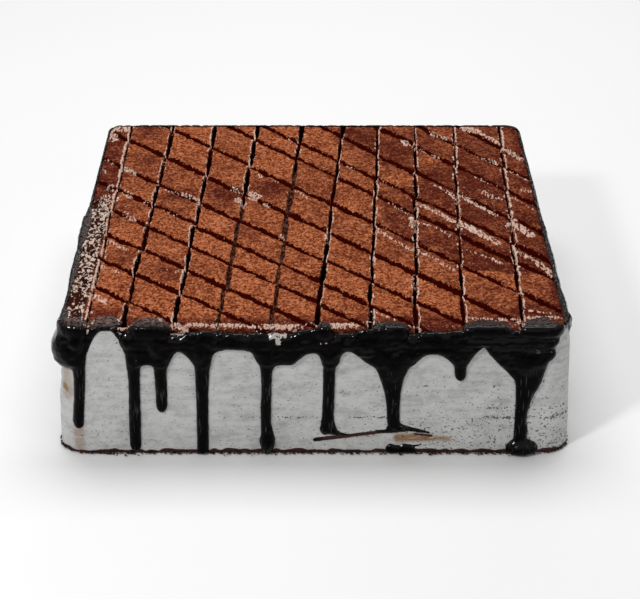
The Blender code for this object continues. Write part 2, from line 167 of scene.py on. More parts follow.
# The ganache's lower outline along the front, as x and height, from the left corner to the right one.
FRONT_OUTLINE = (
    (-130, 46), (-115, 43.5), (-106, 40.5), (-101.5, 39.6), (-98.2, 38.8), (-95.5, 39), (-94.5, 37.2),
    (-94.2, 33), (-94.6, 25), (-95.4, 15.5), (-95, 12.6), (-93.6, 11.3), (-92, 12.2), (-91.4, 16),
    (-90.7, 25), (-90, 34), (-89.6, 40), (-88.9, 45), (-86.8, 50), (-85.2, 53), (-83.3, 55), (-81.5, 55.9),
    (-79.5, 55.6), (-77.6, 54), (-75.3, 50), (-74.5, 46.5), (-73.8, 44.5), (-73.6, 40), (-73.1, 35),
    (-73.2, 27), (-73.7, 15), (-73.9, 5), (-73.3, 1.8), (-71.5, 0.9), (-69.6, 1.9), (-69.1, 5), (-68.9, 15),
    (-68.7, 25), (-68.4, 35), (-68.1, 38.4), (-67.3, 40), (-65.5, 40.4), (-63.9, 40.1), (-62.9, 38.8),
    (-62.7, 34), (-62.6, 25), (-62.5, 21.5), (-61.8, 19.6), (-60.4, 18.8), (-59, 19.4), (-58.1, 21.2),
    (-58, 24), (-57.9, 30), (-57.9, 35), (-57.7, 38.3), (-57, 40.2), (-55.5, 43.2), (-54.3, 45.4),
    (-52.9, 46.3), (-51.2, 45.5), (-49.2, 43.5), (-47.9, 41.5), (-47, 39.6), (-46.7, 36), (-46.7, 20),
    (-46.9, 8), (-46.9, 0), (-46.9, -6), (-42.2, -6), (-42.2, 0), (-42.1, 6), (-42, 18), (-41.5, 30),
    (-41.1, 37), (-40.6, 39.6), (-40, 41.5), (-39.7, 44), (-38.4, 46), (-35.5, 47), (-31, 47.2), (-27, 46.9),
    (-24.8, 46.2), (-23.9, 44.8), (-23.2, 42.8), (-22.2, 41), (-21.3, 39.6), (-20.9, 36), (-20.8, 30),
    (-21.3, 19), (-21.2, 9), (-20.8, 3.5), (-20, 1.2), (-18.8, 0.3), (-17.4, 1.2), (-16.2, 4.5), (-15.7, 8),
    (-16.4, 11), (-17.1, 14), (-16.9, 22), (-16.6, 32), (-16.3, 37.5), (-15.4, 39.7), (-14, 40.3), (-9, 40.3),
    (-7.2, 41.1), (-5.3, 43), (-3.5, 44.8), (-1.6, 45.6), (0.5, 45.6), (1.8, 44.8), (2.4, 43), (2.9, 41),
    (3.5, 39.5), (3.6, 36), (3.4, 28), (3.2, 18), (2.7, 13.3), (2.1, 11.4), (2.6, 9.7), (5.5, 9), (10.3, 9.2),
    (9.3, 10.9), (8.4, 13), (7.9, 16), (8.1, 25), (8.3, 36), (8.8, 39.4), (9.8, 41), (10.3, 43), (10.9, 45),
    (12.1, 46), (13.6, 46.3), (14.9, 45.9), (17.3, 44), (19.6, 42), (22.5, 40), (24.2, 38.5), (25.3, 36),
    (26.4, 33), (27.3, 30), (28.3, 25), (28.9, 19), (29.1, 14), (30, 11.2), (33, 10.5), (35.6, 11.6),
    (34.2, 14.5), (34, 20), (34.3, 26), (34.7, 31), (35.7, 35), (36.8, 38.2), (38.7, 40), (40.1, 41.2),
    (41.7, 43), (43.4, 44.5), (45.5, 45.1), (48.5, 44.9), (50.6, 44), (52.5, 42.6), (54.2, 40.9), (55, 39),
    (55.2, 36.5), (55.5, 34.8), (56.4, 33.6), (57.6, 33.2), (58.8, 33.6), (59.6, 34.8), (59.8, 37), (60, 40),
    (61.2, 42.2), (62.4, 44), (63.6, 46), (65, 47.3), (66.3, 48.4), (67.3, 46.8), (68.5, 45), (71, 42),
    (74, 39), (76.9, 36), (79, 33.2), (79.7, 30), (79.7, 12), (79.8, 6), (78.6, 3.6), (77.4, 1), (77.4, -1),
    (89.2, -1), (89.2, 1.5), (87.6, 4), (85.6, 5.8), (85.1, 8), (85.4, 11), (84.6, 15), (85.1, 20),
    (86.3, 25), (87.6, 28.5), (89.2, 31.5), (90.3, 35), (91, 38.5), (91.9, 41.5), (93.4, 43), (94.3, 44.4),
    (94.2, 46.5), (93.9, 48.2), (95.5, 50), (95.9, 53), (97, 55), (98.2, 57), (100, 58), (112, 52),
)
# The first and last drip of the front, for the rule that gives the hidden sides theirs.
FRONT_ENDS = table(Drip, (-92.4, 2.3, 11.2, 40, 40, 2.3), (81.8, 3, 0.6, 32, 35, 5.2))
FRONT_ARCHES = table(Arch, (-104, 41.5, 2), (0, 46, 2), (98.6, 57, 1.3))
HIDDEN_SEED = 11
HIDDEN_STEP = (15.0, 29.0)  # from one drip to the next
HIDDEN_TIPS = (1.0, 1.2, 9.0, 14.0, 22.0, 34.0)  # heights that their tips reach down to
FIRST_HIDDEN = 16.0  # from the corner at the front right
LAST_HIDDEN = 5.0  # from the corner at the front left

# The rim by the length round the edge from the front's middle: how far it lies in over the top, its
# thickness as a share of the usual, and how much cocoa lies on it.
Rim = namedtuple("Rim", "along reach thick dust")
RIM = table(
    Rim,
    (-99, 3, 0.9, 1), (-92, 2.5, 0.9, 1), (-90, -1.5, 0.7, 0.6), (-88.3, -2, 0.6, 0.6), (-86, 1.5, 0.6, 1),
    (-77.5, 1.5, 0.8, 1), (-75.5, -2.5, 0.9, 0.6), (-71.5, -2.5, 0.9, 0.6), (-69, 1.5, 1, 1),
    (-58.5, 1.5, 1, 0.8), (-56.5, -2.2, 1, 0.4), (-51, -2.2, 1, 0.3), (-48, -0.8, 1, 0.3),
    (-37, -0.8, 1, 0.3), (-30, -1.6, 1, 0.3), (-20, -1.8, 1, 0.3), (-9, -1.6, 1, 0.3), (-6, -0.4, 1, 0.3),
    (0, 0.2, 1, 0.4), (2, 1.5, 1.1, 0.4), (6, 1.5, 1.1, 0.4), (8, -2, 1, 0.2), (15, -2, 1, 0.3),
    (17.5, 0, 1, 0.3), (25, 0, 1, 0.4), (28.5, 3, 1.1, 0.25), (35, 3, 1, 0.25), (37, -2.5, 1, 0.4),
    (40.5, -2.5, 1, 0.4), (42.5, -1.2, 1, 0.4), (52, -1, 1, 0.4), (58, -0.3, 1, 0.5), (61, 3, 1.1, 0.25),
    (74, 3, 1.1, 0.25), (76.5, -0.5, 1, 0.6), (80, -0.5, 1, 0.6), (82, 3, 1.1, 0.4), (97, 3, 0.9, 0.4),
    (102, 1.3, 0.7, 0.5), (106, 1.2, 1, 0.5), (120, 1, 0.9, 0.4), (130, 0.8, 0.55, 0.4), (150, 0.8, 0.7, 0.4),
    (185, 0.8, 0.6, 0.4), (200, 0.6, 0.35, 0.4), (225, 0.7, 0.5, 0.4), (262, 0.5, 0.3, 0.4),
    (285, 0.4, 0.28, 0.4), (298, 0.2, 0.22, 0.3), (482, 0.2, 0.22, 0.3), (550, 0.3, 0.3, 0.5),
    (575, 0.6, 0.35, 0.8), (588, 2.2, 0.75, 1), (604, 2.4, 0.85, 1), (616, 0.9, 0.6, 0.9), (630, 1.5, 0.6, 1),
    (640, 1.8, 0.6, 1), (650, 0.5, 0.38, 0.7), (662, 0.5, 0.38, 0.7), (673, 2, 0.55, 1),
)
# Domes of ganache on the rim: middle and half size round the edge and across it, and height.
Lump = namedtuple("Lump", "along v half_along half_v thick")
LUMPS = table(
    Lump,
    (-96, 58, 6.8, 6.4, 2.8), (-91.8, 57.5, 3.6, 7.6, 2.6), (-81.3, 60.4, 6.6, 5.2, 2.4),
    (-63.8, 57, 8.3, 7.4, 2.8), (4, 55, 3.4, 5.2, 2.9), (30, 57, 7.5, 5.5, 1.5), (67.5, 57, 9.5, 6.2, 1.4),
    (90, 57.5, 9, 8, 1.7), (20.5, 46.6, 5.4, 2.3, 3.3), (-100, 46, 9, 8.5, 4.2), (-92.6, 50.5, 3.2, 4.5, 3),
    (-72.5, 51, 3.4, 4.2, 3), (-61.5, 48.5, 3.6, 5.5, 3), (-44.5, 46, 3.4, 5.5, 2.8), (31.5, 40, 5.5, 7.5, 3),
    (84, 42, 6.5, 6.5, 3.2), (-18.7, 5.6, 3.1, 5.3, 2.9), (83.2, 2.6, 6.6, 4.3, 3.8),
)


# ---- numbers

FAR = 99.0  # more than any distance that counts


def hash01(ix, iy, seed):
    """A fixed random number from 0 to 1 for each pair of whole numbers."""
    ix, iy = np.asarray(ix).astype(np.int64), np.asarray(iy).astype(np.int64)
    h = (ix * 374761393 + iy * 668265263 + seed * 1442695041) & 0xFFFFFFFF
    h = ((h ^ (h >> 13)) * 1274126177) & 0xFFFFFFFF
    return ((h ^ (h >> 16)) & 0xFFFF) / 65535.0


def noise(x, y, seed=0):
    """Value noise from -1 to 1: random numbers on a unit lattice, joined by a cubic ease each way."""
    x, y = np.broadcast_arrays(np.asarray(x, float), np.asarray(y, float))
    ix, iy = np.floor(x), np.floor(y)
    fx, fy = x - ix, y - iy
    fx, fy = fx * fx * (3 - 2 * fx), fy * fy * (3 - 2 * fy)
    low = blend(hash01(ix, iy, seed), hash01(ix + 1, iy, seed), fx)
    high = blend(hash01(ix, iy + 1, seed), hash01(ix + 1, iy + 1, seed), fx)
    return 2 * blend(low, high, fy) - 1


def fractal(x, y, octaves, seed=0):
    """Octaves of noise, each twice as fine and half as strong, scaled back to about -1 to 1."""
    total = sum(noise(x * 2**k, y * 2**k, seed + 7 * k) / 2**k for k in range(octaves))
    return total / (2 - 2.0 ** (1 - octaves)) * 1.3


def ease(low, high, value):
    """0 at low, 1 at high, a cubic ease between."""
    t = np.clip((value - low) / (high - low), 0, 1)
    return t * t * (3 - 2 * t)


def blend(first, second, share):
    """The first at share 0, the second at 1, in proportion between."""
    return first * (1 - share) + second * share


def smooth_max(a, b, k):
    """The larger of two, rounded where they are within k of each other."""
    h = np.clip(0.5 + 0.5 * (a - b) / k, 0, 1)
    return b + (a - b) * h + k * h * (1 - h)


def smoothed(values, width):
    """A running mean over an odd number of values."""
    padded = np.pad(values, width // 2, mode="edge")
    return np.convolve(padded, np.ones(width) / width, mode="valid")


def round_profile(depth, width):
    """A quarter ellipse: 0 at depth 0, steep at first, 1 from the width on."""
    return np.sqrt(1 - (1 - np.clip(depth / width, 0, 1)) ** 2)


def spots(x, y, patches):
    """The strongest of some round patches at each point, each fading as a Gauss curve from its middle."""
    return np.max([s * np.exp(-((x - px) ** 2 + (y - py) ** 2) / r**2) for px, py, r, s in patches], axis=0)


def from_segment(x, y, x0, y0, x1, y1):
    """Distance of each point from a straight segment, and how far along it the nearest point is."""
    dx, dy = x1 - x0, y1 - y0
    share = np.clip(((x - x0) * dx + (y - y0) * dy) / (dx * dx + dy * dy), 0, 1)
    return np.hypot(x - x0 - share * dx, y - y0 - share * dy), share


def streaks(x, y, rows, blur=0.6):
    """The strongest of some streaks at each point: full along its segment, 0 past its half width."""
    found = np.zeros_like(x)
    for row in rows:
        away, _ = from_segment(x, y, *row[:4])
        found = np.maximum(found, row.strength * ease(row.half + blur, row.half - blur, away))
    return found


def rim_value(along, field):
    """A rim value at lengths round the edge, straight between its stations."""
    stations = [row.along for row in RIM]
    return np.interp(along, stations, [getattr(row, field) for row in RIM], period=PERIMETER)


# ---- meshes


def stacked(*parts):
    """Arrays, or a number for all, side by side in a last axis: corners of triangles, or x, y and z."""
    return np.stack(np.broadcast_arrays(*parts), -1)


def raised(flat, z):
    """Points from pairs of x and y and their heights."""
    return np.concatenate((flat, np.broadcast_to(z, flat.shape[:-1])[..., None]), -1)


def add_object(name, data):
    """A new object in the scene, with its mesh, lamp or camera."""
    made = bpy.data.objects.new(name, data)
    bpy.context.scene.collection.objects.link(made)
    return made


def mark(mesh, name, values):
    """Gives each of a mesh's points a number that a finish can read."""
    mesh.attributes.new(name, "FLOAT", "POINT").data.foreach_set("value", values.astype(np.float32))


def mesh_piece(name, points, faces, material, masks=None):
    """A smooth mesh object from arrays of points in millimetres and of triangles, riding on the root."""
    mesh = bpy.data.meshes.new(name)
    mesh.vertices.add(len(points))
    mesh.vertices.foreach_set("co", (points * MM).astype(np.float32).ravel())
    mesh.loops.add(faces.size)
    mesh.loops.foreach_set("vertex_index", faces.astype(np.int32).ravel())
    mesh.polygons.add(len(faces))
    mesh.polygons.foreach_set("loop_start", np.arange(0, faces.size, faces.shape[1], dtype=np.int32))
    mesh.update(calc_edges=True)
    mesh.polygons.foreach_set("use_smooth", np.ones(len(faces), dtype=bool))
    for key, values in (masks or {}).items():
        mark(mesh, key, values)
    mesh.materials.append(material)
    piece = add_object(name, mesh)
    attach(piece, "root")
    return piece


def grid_triangles(rows, columns, closed=False):
    """Two triangles between each four neighbours of a grid, facing up where rows run +Y, columns +X."""
    number = np.arange(rows * columns).reshape(rows, columns)
    if closed:
        number = np.hstack((number, number[:, :1]))
    a, b = number[:-1, :-1].ravel(), number[:-1, 1:].ravel()
    c, d = number[1:, 1:].ravel(), number[1:, :-1].ravel()
    return np.vstack((stacked(a, b, c), stacked(a, c, d)))


def rim_frame(along):
    """The top edge's points and outward directions at lengths along it from the front's middle towards
    +X: four straight sides joined by quarter circles."""
    side, rest = np.divmod(np.mod(along + HALF_STRAIGHT, PERIMETER), SIDE_PITCH)
    bend = np.maximum(rest - STRAIGHT, 0) / CORNER_RADIUS
    out = stacked(np.sin(bend), -np.cos(bend))
    point = stacked(np.minimum(rest, STRAIGHT) - HALF_STRAIGHT, -HALF_STRAIGHT) + CORNER_RADIUS * out
    cos, sin = np.cos(side * math.pi / 2), np.sin(side * math.pi / 2)

    def turn(v):
        """Turned from the front to the side that the point is on."""
        return stacked(cos * v[..., 0] - sin * v[..., 1], sin * v[..., 0] + cos * v[..., 1])

    return turn(point), turn(out)


# How far the wall bellies out over the plain lean, on the right side and at the foot of the left one.
BELLY_RIGHT = 1.3
BELLY_LEFT = 1.0


def from_middle(along):
    """Lengths round the cake, counted from the front's middle, as -half to +half a turn."""
    return np.mod(along + PERIMETER / 2, PERIMETER) - PERIMETER / 2


def wall(along, z):
    """How far the cake's wall stands outside its top edge at a height: it leans, the right side bellies out
    a little, and so does the foot of the left side."""
    place = from_middle(along)
    right = ease(95, 103, place) * ease(299, 291, place) * ease(HEIGHT, HEIGHT - 8, z)
    left = ease(-95, -103, place) * ease(-299, -291, place) * ease(36, 22, z)
    return DRAFT * (HEIGHT - z) + BELLY_RIGHT * right + BELLY_LEFT * left


# ---- finishes


class Value:
    """A number that varies over a surface: a socket whose arithmetic adds Math nodes."""

    def __init__(self, finish, socket):
        self.finish = finish
        self.socket = socket

    def math(self, operation, first, second, clamp=False):
        """One Math node on two values or numbers."""
        settings = {"operation": operation, "use_clamp": clamp}
        node = self.finish.node("ShaderNodeMath", settings, {0: first, 1: second})
        return Value(self.finish, node.outputs[0])

    def __add__(self, other):
        return self.math("ADD", self, other)

    def __sub__(self, other):
        return self.math("SUBTRACT", self, other)

    def __mul__(self, other):
        return self.math("MULTIPLY", self, other)

    def __rsub__(self, other):
        return self.math("SUBTRACT", other, self)

    __radd__ = __add__
    __rmul__ = __mul__

    def larger(self, other):
        """The larger of this and another."""
        return self.math("MAXIMUM", self, other)

    def clamped(self):
        """Cut to between 0 and 1."""
        return self.math("ADD", self, 0.0, clamp=True)

    def ease(self, low, high):
        """0 at low, 1 at high, a smooth step between."""
        settings = {"interpolation_type": "SMOOTHSTEP"}
        first, second = sorted((low, high))
        values = {"Value": self, "From Min": first, "From Max": second}
        values.update({"To Min": float(low > high), "To Max": float(low < high)})
        return Value(self.finish, self.finish.node("ShaderNodeMapRange", settings, values).outputs[0])


class Finish:
    """A procedural material: one Principled shader and the nodes that vary it."""

    def __init__(self, name, **constants):
        self.material = bpy.data.materials.new(name)
        self.material.use_nodes = True
        self.tree = self.material.node_tree
        self.shader = self.tree.nodes["Principled BSDF"]
        for key, value in constants.items():
            self.shader.inputs[key.replace("_", " ")].default_value = value
        self.place = self.node("ShaderNodeTexCoord").outputs["Object"]
        self.colour = None  # the base colour so far

    def node(self, kind, settings=None, values=None):
        """Any node: its settings first, then its sockets' values or links."""
        node = self.tree.nodes.new(kind)
        for key, value in (settings or {}).items():
            setattr(node, key, value)
        for key, value in (values or {}).items():
            socket = node.inputs[key]
            value = value.socket if isinstance(value, Value) else value
            if isinstance(value, bpy.types.NodeSocket):
                self.tree.links.new(value, socket)
            else:
                socket.default_value = value
        return node

    def noise(self, size, detail=2.0, stretch=(1, 1, 1), shift=0.0, roughness=0.5, twist=0.0):
        """Noise of a feature size in millimetres, about 0 to 1 with a mean of 0.5."""
        scale = [1 / (size * MM * s) for s in stretch]
        values = {"Vector": self.place, "Scale": scale, "Location": (shift, shift, shift)}
        place = self.node("ShaderNodeMapping", values=values)
        values = {"Vector": place.outputs[0], "Scale": 1.0, "Detail": detail, "Roughness": roughness}
        values["Distortion"] = twist
        return Value(self, self.node("ShaderNodeTexNoise", values=values).outputs[0])

    def attribute(self, name):
        """The mesh's own number of that name."""
        return Value(self, self.node("ShaderNodeAttribute", {"attribute_name": name}).outputs["Fac"])

    def mix(self, factor, first, second):
        """A colour between two, by a factor from 0 to 1."""
        values = {0: factor, 6: first, 7: second}
        node = self.node("ShaderNodeMix", {"data_type": "RGBA", "clamp_factor": True}, values)
        return node.outputs[2]

    def lay(self, factor, colour):
        """Covers the base colour as it is so far with another, by a factor from 0 to 1."""
        self.colour = self.mix(factor, self.colour, colour)
        self.link("Base Color", self.colour)

    def bump(self, height, distance, strength=1.0):
        """Links a relief of that depth in millimetres to the shader's normal."""
        values = {"Height": height, "Distance": distance * MM, "Strength": strength}
        self.link("Normal", self.node("ShaderNodeBump", values=values).outputs[0])

    def link(self, socket, value):
        """Links a value or an output to one of the shader's inputs."""
        value = value.socket if isinstance(value, Value) else value
        self.tree.links.new(value, self.shader.inputs[socket])


# ---- properties


def colour_property(name, description, default):
    """A colour with alpha that the panel shows."""
    return bpy.props.FloatVectorProperty(
        name=name, description=description, subtype="COLOR", size=4, min=0.0, max=1.0, default=default
    )


def length_property(name, description, default):
    """A length in metres that the panel shows."""
    return bpy.props.FloatProperty(
        name=name, description=description, default=default, min=0.0, unit="LENGTH", subtype="DISTANCE"
    )


class CakeColours(bpy.types.PropertyGroup):
    """Colours of the cake's surfaces"""

    cream: colour_property("Cream", "The frosting on the sides", (0.60, 0.60, 0.59, 1))
    cream_shade: colour_property("Cream shade", "Duller streaks in the frosting", (0.36, 0.36, 0.355, 1))
    bright_cocoa: colour_property("Bright cocoa", "Thick dry cocoa", (0.485, 0.143, 0.056, 1))
    dark_cocoa: colour_property("Dark cocoa", "Thin or moist cocoa", (0.112, 0.024, 0.015, 1))
    groove: colour_property("Slanted line", "The bottom of a slanted line", (0.036, 0.002, 0.0006, 1))
    # painted shade: the near-black that stands for the shadow deep in a knife line
    slit: colour_property("Slit", "The bottom of a knife line", (0.003, 0.0015, 0.0015, 1))
    fleck: colour_property("Fleck", "Cream showing through the cocoa", (0.58, 0.34, 0.25, 1))
    ganache: colour_property("Ganache", "The chocolate rim", (0.0022, 0.0016, 0.0018, 1))
    dust: colour_property("Dust", "Cocoa on the ganache", (0.21, 0.125, 0.10, 1))


class CakeSizes(bpy.types.PropertyGroup):
    """Sizes of the cake's surface detail"""

    rim_thickness: length_property("Rim thickness", "How thick the ganache lies on the wall", 2.2 * MM)
    slit_depth: length_property("Slit depth", "How deep the knife went", 3.2 * MM)
    groove_depth: length_property("Groove depth", "How deep the slanted lines are", 1.4 * MM)
    grain: length_property("Cocoa grain", "Height of the cocoa's lumps", 0.25 * MM)


class StageSettings(bpy.types.PropertyGroup):
    """Where the camera stands and how bright the light is"""

    distance: length_property("Camera distance", "From the cake's middle, level", 0.686)
    height: length_property("Camera height", "Over the floor", 0.396)
    tilt: bpy.props.FloatProperty(
        name="Camera tilt",
        description="Down from level",
        default=math.radians(29.1),
        subtype="ANGLE",
        unit="ROTATION",
    )
    lens: bpy.props.FloatProperty(
        name="Lens", description="Focal length in millimetres on a 36 mm sensor", default=98.4, min=10.0
    )
    brightness: bpy.props.FloatProperty(
        name="Brightness", description="Of the lamps and the world", default=1.0, min=0.0
    )


# ---- cream coat

COAT_TOP = 53.8
COAT_TOP_LEFT = 1.6  # higher where the rim's first arch at the left leaves it bare
COAT_FOOT_ROUND = 0.9
COAT_TOP_ROUND = 0.4
COAT_LIP = 0.9  # thickness of the coat beside the cocoa
COAT_INNER_Z = COCOA_LOW.z + 0.2  # where it ends behind the cocoa
COAT_ROWS = 100
COAT_STEP_FRONT = 0.52
COAT_STEP = 1.25
# Stains on the front, as streaks in x and height. Brown ones are thin ganache, tan ones are syrup.
BROWN_STAINS = table(
    Streak,
    (0.5, 6.4, 14, 8.2, 0.9, 1), (14, 8.2, 27, 10, 0.8, 0.9), (25, 10, 33, 10.4, 0.9, 0.9),
    (40, 9, 47, 8.2, 0.6, 0.7), (42, 3.2, 50, 5, 0.5, 0.5), (88, 1.2, 97, 0.8, 0.7, 0.7),
)
TAN_STAINS = table(
    Streak,
    (33.5, 7.2, 46, 7.4, 1.8, 1), (46, 7.2, 54, 6.7, 1.1, 0.8), (-97.6, 38, -97.4, 26, 2.2, 0.45),
    (-98.4, 29.5, -97.8, 28, 1.5, 1), (-93.6, 11.5, -93.4, 0.5, 1.7, 0.55), (12, 7.2, 24, 8.2, 0.7, 0.3),
)
# Level rows of dark specks: height, spread, strength.
SPECK_ROWS = ((16.6, 0.7, 1), (20.8, 0.6, 0.6), (30.6, 0.5, 0.35), (10.5, 0.6, 0.3))


def coat_relief(along, z):
    """How far the frosting stands out of the plain wall, in millimetres: long level scraper streaks,
    slow hollows, and a few pits."""
    marks = fractal(along / 30, z / 1.6, 3, 3) * 0.06
    hollows = fractal(along / 22, z / 13, 3, 5) * 0.20
    pits = ease(0.62, 0.9, noise(along / 1.7, z / 1.3, 9)) * ease(0.1, 0.6, noise(along / 18, z / 5, 4))
    return marks + hollows - 0.30 * pits


def coat_columns():
    """Lengths round the cake of the coat's columns, close together along the front."""
    half = HALF_STRAIGHT + CORNER_ARC
    front = np.linspace(-half, half, int(2 * half / COAT_STEP_FRONT))
    rest = np.linspace(half, PERIMETER - half, int((PERIMETER - 2 * half) / COAT_STEP))
    return np.concatenate((front, rest[1:-1]))


def coat_masks(x, z):
    """Where the frosting is stained, and where dark specks gather: by its foot and in level rows."""
    brown = streaks(x, z, BROWN_STAINS, 0.45)
    crumbs = ease(2.4, 1.2, z + 0.6 * noise(x / 2.5, 0, 11)) * (0.9 + 0.6 * ease(-75, -45, x))
    specks = sum(s * np.exp(-(((z - h) / w) ** 2)) for h, w, s in SPECK_ROWS)
    specks = specks * (0.35 + 0.65 * ease(-50, -10, x)) * ease(-0.6, 0.3, noise(x / 9, z / 9, 12))
    specks = specks + 0.35 * ease(10, 60, x) * ease(34, 12, z) + 0.35 * ease(88, 96, x) * ease(14, 2, z)
    return {"brown": np.maximum(brown, crumbs * 0.8), "tan": streaks(x, z, TAN_STAINS, 1.0), "specks": specks}


def make_cream_coat(material):
    """The coat round the block. Its outer surface is a grid of length round the cake and height: the plain
    wall moved out by coat_relief, its bottom and top edges rounded. At the top it turns in and down behind
    the cocoa, and flat lids close it."""
    along = coat_columns()
    count = len(along)
    point, out = rim_frame(along)
    x = from_middle(along)
    top = COAT_TOP + COAT_TOP_LEFT * ease(-97, -92, x) * ease(-74, -78, x)
    share = np.linspace(0, 1, COAT_ROWS)[:, None]
    z = top * (0.85 * share + 0.15 * (1 - np.cos(math.pi * share)) / 2)
    fade = np.minimum(ease(0, 3, z), ease(0, 2, top - z))
    foot = COAT_FOOT_ROUND * (1 - round_profile(z, COAT_FOOT_ROUND))
    lip = COAT_TOP_ROUND * (1 - round_profile(top - z, COAT_TOP_ROUND))
    stand = wall(along, z) - foot - lip + coat_relief(along, z) * fade
    stand = np.vstack((stand, np.full((2, count), -COAT_LIP)))
    z = np.vstack((z, top[None], np.full((1, count), COAT_INNER_Z)))
    points = raised(point + out * stand[..., None], z)
    rows = len(z)
    ring = np.arange(count)
    after = np.roll(ring, -1)
    low, high = rows * count, rows * count + 1
    last = (rows - 1) * count
    lids = stacked(after, ring, low), stacked(ring + last, after + last, high)
    triangles = np.vstack((grid_triangles(rows, count, closed=True), *lids))
    masks = coat_masks(np.broadcast_to(x, z.shape), z)
    masks = {key: np.concatenate((value.ravel(), (0.0, 0.0))) for key, value in masks.items()}
    points = np.vstack((points.reshape(-1, 3), (0, 0, 0), (0, 0, COAT_INNER_Z)))
    piece = mesh_piece("cream_coat", points, triangles, material, masks)
    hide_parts("cream_cake")
    return piece


def cream_finish(colours):
    """Pale frosting: level streaks and clouds a little darker than the rest, pits, dark specks that gather
    in rows, tan stains and thin brown smears."""
    finish = Finish("frosting", Roughness=0.55, Specular_IOR_Level=0.3)
    marks = finish.noise(1.5, 3, (9, 9, 1))
    clouds = finish.noise(5, 4, (1.5, 1.5, 0.9), 3.0, 0.65)
    fine = finish.noise(0.9, 2, (1.6, 1.6, 0.9), 6.0)
    shade = (marks * 0.26 + clouds * 0.54 + fine * 0.20).ease(0.30, 0.60)
    finish.colour = finish.mix(shade, colours.cream_shade, colours.cream)
    tan = finish.attribute("tan") * finish.noise(1.4, 2, (2.4, 2.4, 0.7), 2.0).ease(0.22, 0.48)
    finish.lay(tan, (0.27, 0.15, 0.06, 1))
    ragged = finish.noise(0.8, 2, (1.6, 1.6, 0.8), 4.0)
    finish.lay((finish.attribute("brown") * 0.8 + ragged * 0.5).ease(0.52, 0.68), (0.035, 0.006, 0.005, 1))
    sparse = finish.noise(0.85, 1, (1.15, 1.15, 0.9), 7.0)
    specks = (sparse + finish.attribute("specks") * 0.22).ease(0.70, 0.74)
    finish.lay(specks * 0.85, (0.04, 0.028, 0.024, 1))
    pits = finish.noise(1.1, 2, (1.3, 1.3, 0.8), 1.0).ease(0.30, 0.42)
    finish.bump(marks * 0.6 + pits * 0.3 + fine * 0.15, 0.20, 0.7)
    return finish.material


# ---- cocoa top

Slit = namedtuple("Slit", "number centre half depth dull")
SLIT_SEED = 40
SLIT_EDGE_STEPS = (0.0, 0.28, 0.55, 0.8, 1.05, 1.3, 1.6, 2.0, 2.5, 3.2)
TILE_CELLS = 19
COCOA_ROWS = 388
COCOA_CUTS = (0, 4, 7, 11)  # strips between knife lines in each of the three pieces
COCOA_INSET = 0.5  # behind the cream coat's face
EDGE_ROUNDING = 1.2
LEFT_LIPS = 5  # the first knife lines show their left lip most, the others their right


def knife_x(line, y):
    """A knife line's x at each y, straight from its front end to its back end."""
    return line.front + (line.back - line.front) * (y + HALF_TOP) / (2 * HALF_TOP)


def knife_crossings(line):
    """Where the slanted lines cross a knife line, from front to back."""
    lean = (line.back - line.front) / (2 * HALF_TOP)
    middle = knife_x(line, 0.0)
    return np.sort([(p * cos + (p - middle) * sin) / (lean * sin + cos) for p, sin, cos in SLANTS])


def slit_along(number, y, depth):
    """A knife line's middle, half width and depth at each y, and how smeared shut it is. Between two slanted
    lines it opens as a lens, a little askew and out of line with its neighbours."""
    line = KNIFE_LINES[number]
    rng = np.random.default_rng(SLIT_SEED + number)
    crossings = knife_crossings(line)
    edges = np.concatenate(([-HALF_TOP - 9], crossings, [HALF_TOP + 9]))
    part = np.searchsorted(crossings, y)
    share = (y - edges[part]) / (edges[part + 1] - edges[part])
    parts = len(crossings) + 1
    shift, tilt = rng.uniform(-0.4, 0.4, parts), rng.uniform(-0.3, 1.1, parts)
    wide = rng.uniform(0.65, 1.15, parts)
    lens = np.sin(math.pi * np.clip(share, 0, 1)) ** 0.4
    opened = np.interp(y, (-HALF_TOP, 0, HALF_TOP), (line.open_front, line.open_middle, line.open_back))
    dull = np.maximum(ease(4, -4, y - line.shut), 0.5 * rng.random(parts)[part] ** 2)
    half = 0.2 + np.maximum(opened * wide[part] + 0.10 * dull - 0.2, 0.06) * lens
    half = half * (1 + 0.30 * noise(y / 1.4, number, 21))
    centre = knife_x(line, y) + shift[part] - tilt[part] * (share - 0.5) + 0.14 * noise(y / 1.3, number, 22)
    deep = depth * (0.15 + 0.85 * lens) * np.clip(opened / 0.9, 0.35, 1.0) * (1 - 0.7 * dull)
    centre, half, deep, dull = (smoothed(values, 3) for values in (centre, half, deep, dull))
    return Slit(number, centre, np.maximum(half, 0.2), deep, dull)


def edge_half_width(y):
    """Half the cocoa's width at each y, less at the round corners."""
    radius = CORNER_RADIUS - COCOA_INSET
    past = np.clip(np.abs(y) - HALF_STRAIGHT, 0, radius)
    return HALF_STRAIGHT + np.sqrt(np.maximum(radius**2 - past**2, 0))


def cocoa_rows():
    """Row positions from front to back, close together at the round corners."""
    angles = np.linspace(0, math.pi / 2, 12)[1:]
    bend = HALF_STRAIGHT + (CORNER_RADIUS - COCOA_INSET) * np.sin(angles)
    straight = np.linspace(-HALF_STRAIGHT, HALF_STRAIGHT, COCOA_ROWS)
    return np.concatenate((-bend[::-1], straight, bend))


def strip_columns(left, right, left_near, right_near):
    """Column positions across a strip for each row: fine steps beside a slit, even ones between."""
    steps = np.array(SLIT_EDGE_STEPS)
    near = np.minimum(steps, (right - left)[:, None] * steps / steps[-1] * 0.35)
    start = left[:, None] + (near if left_near else near * 0.5)
    stop = right[:, None] - (near if right_near else near * 0.5)[:, ::-1]
    share = np.linspace(0, 1, TILE_CELLS + 1)[None, 1:-1]
    middle = start[:, -1:] + (stop[:, :1] - start[:, -1:]) * share
    return np.hstack((start, middle, stop))


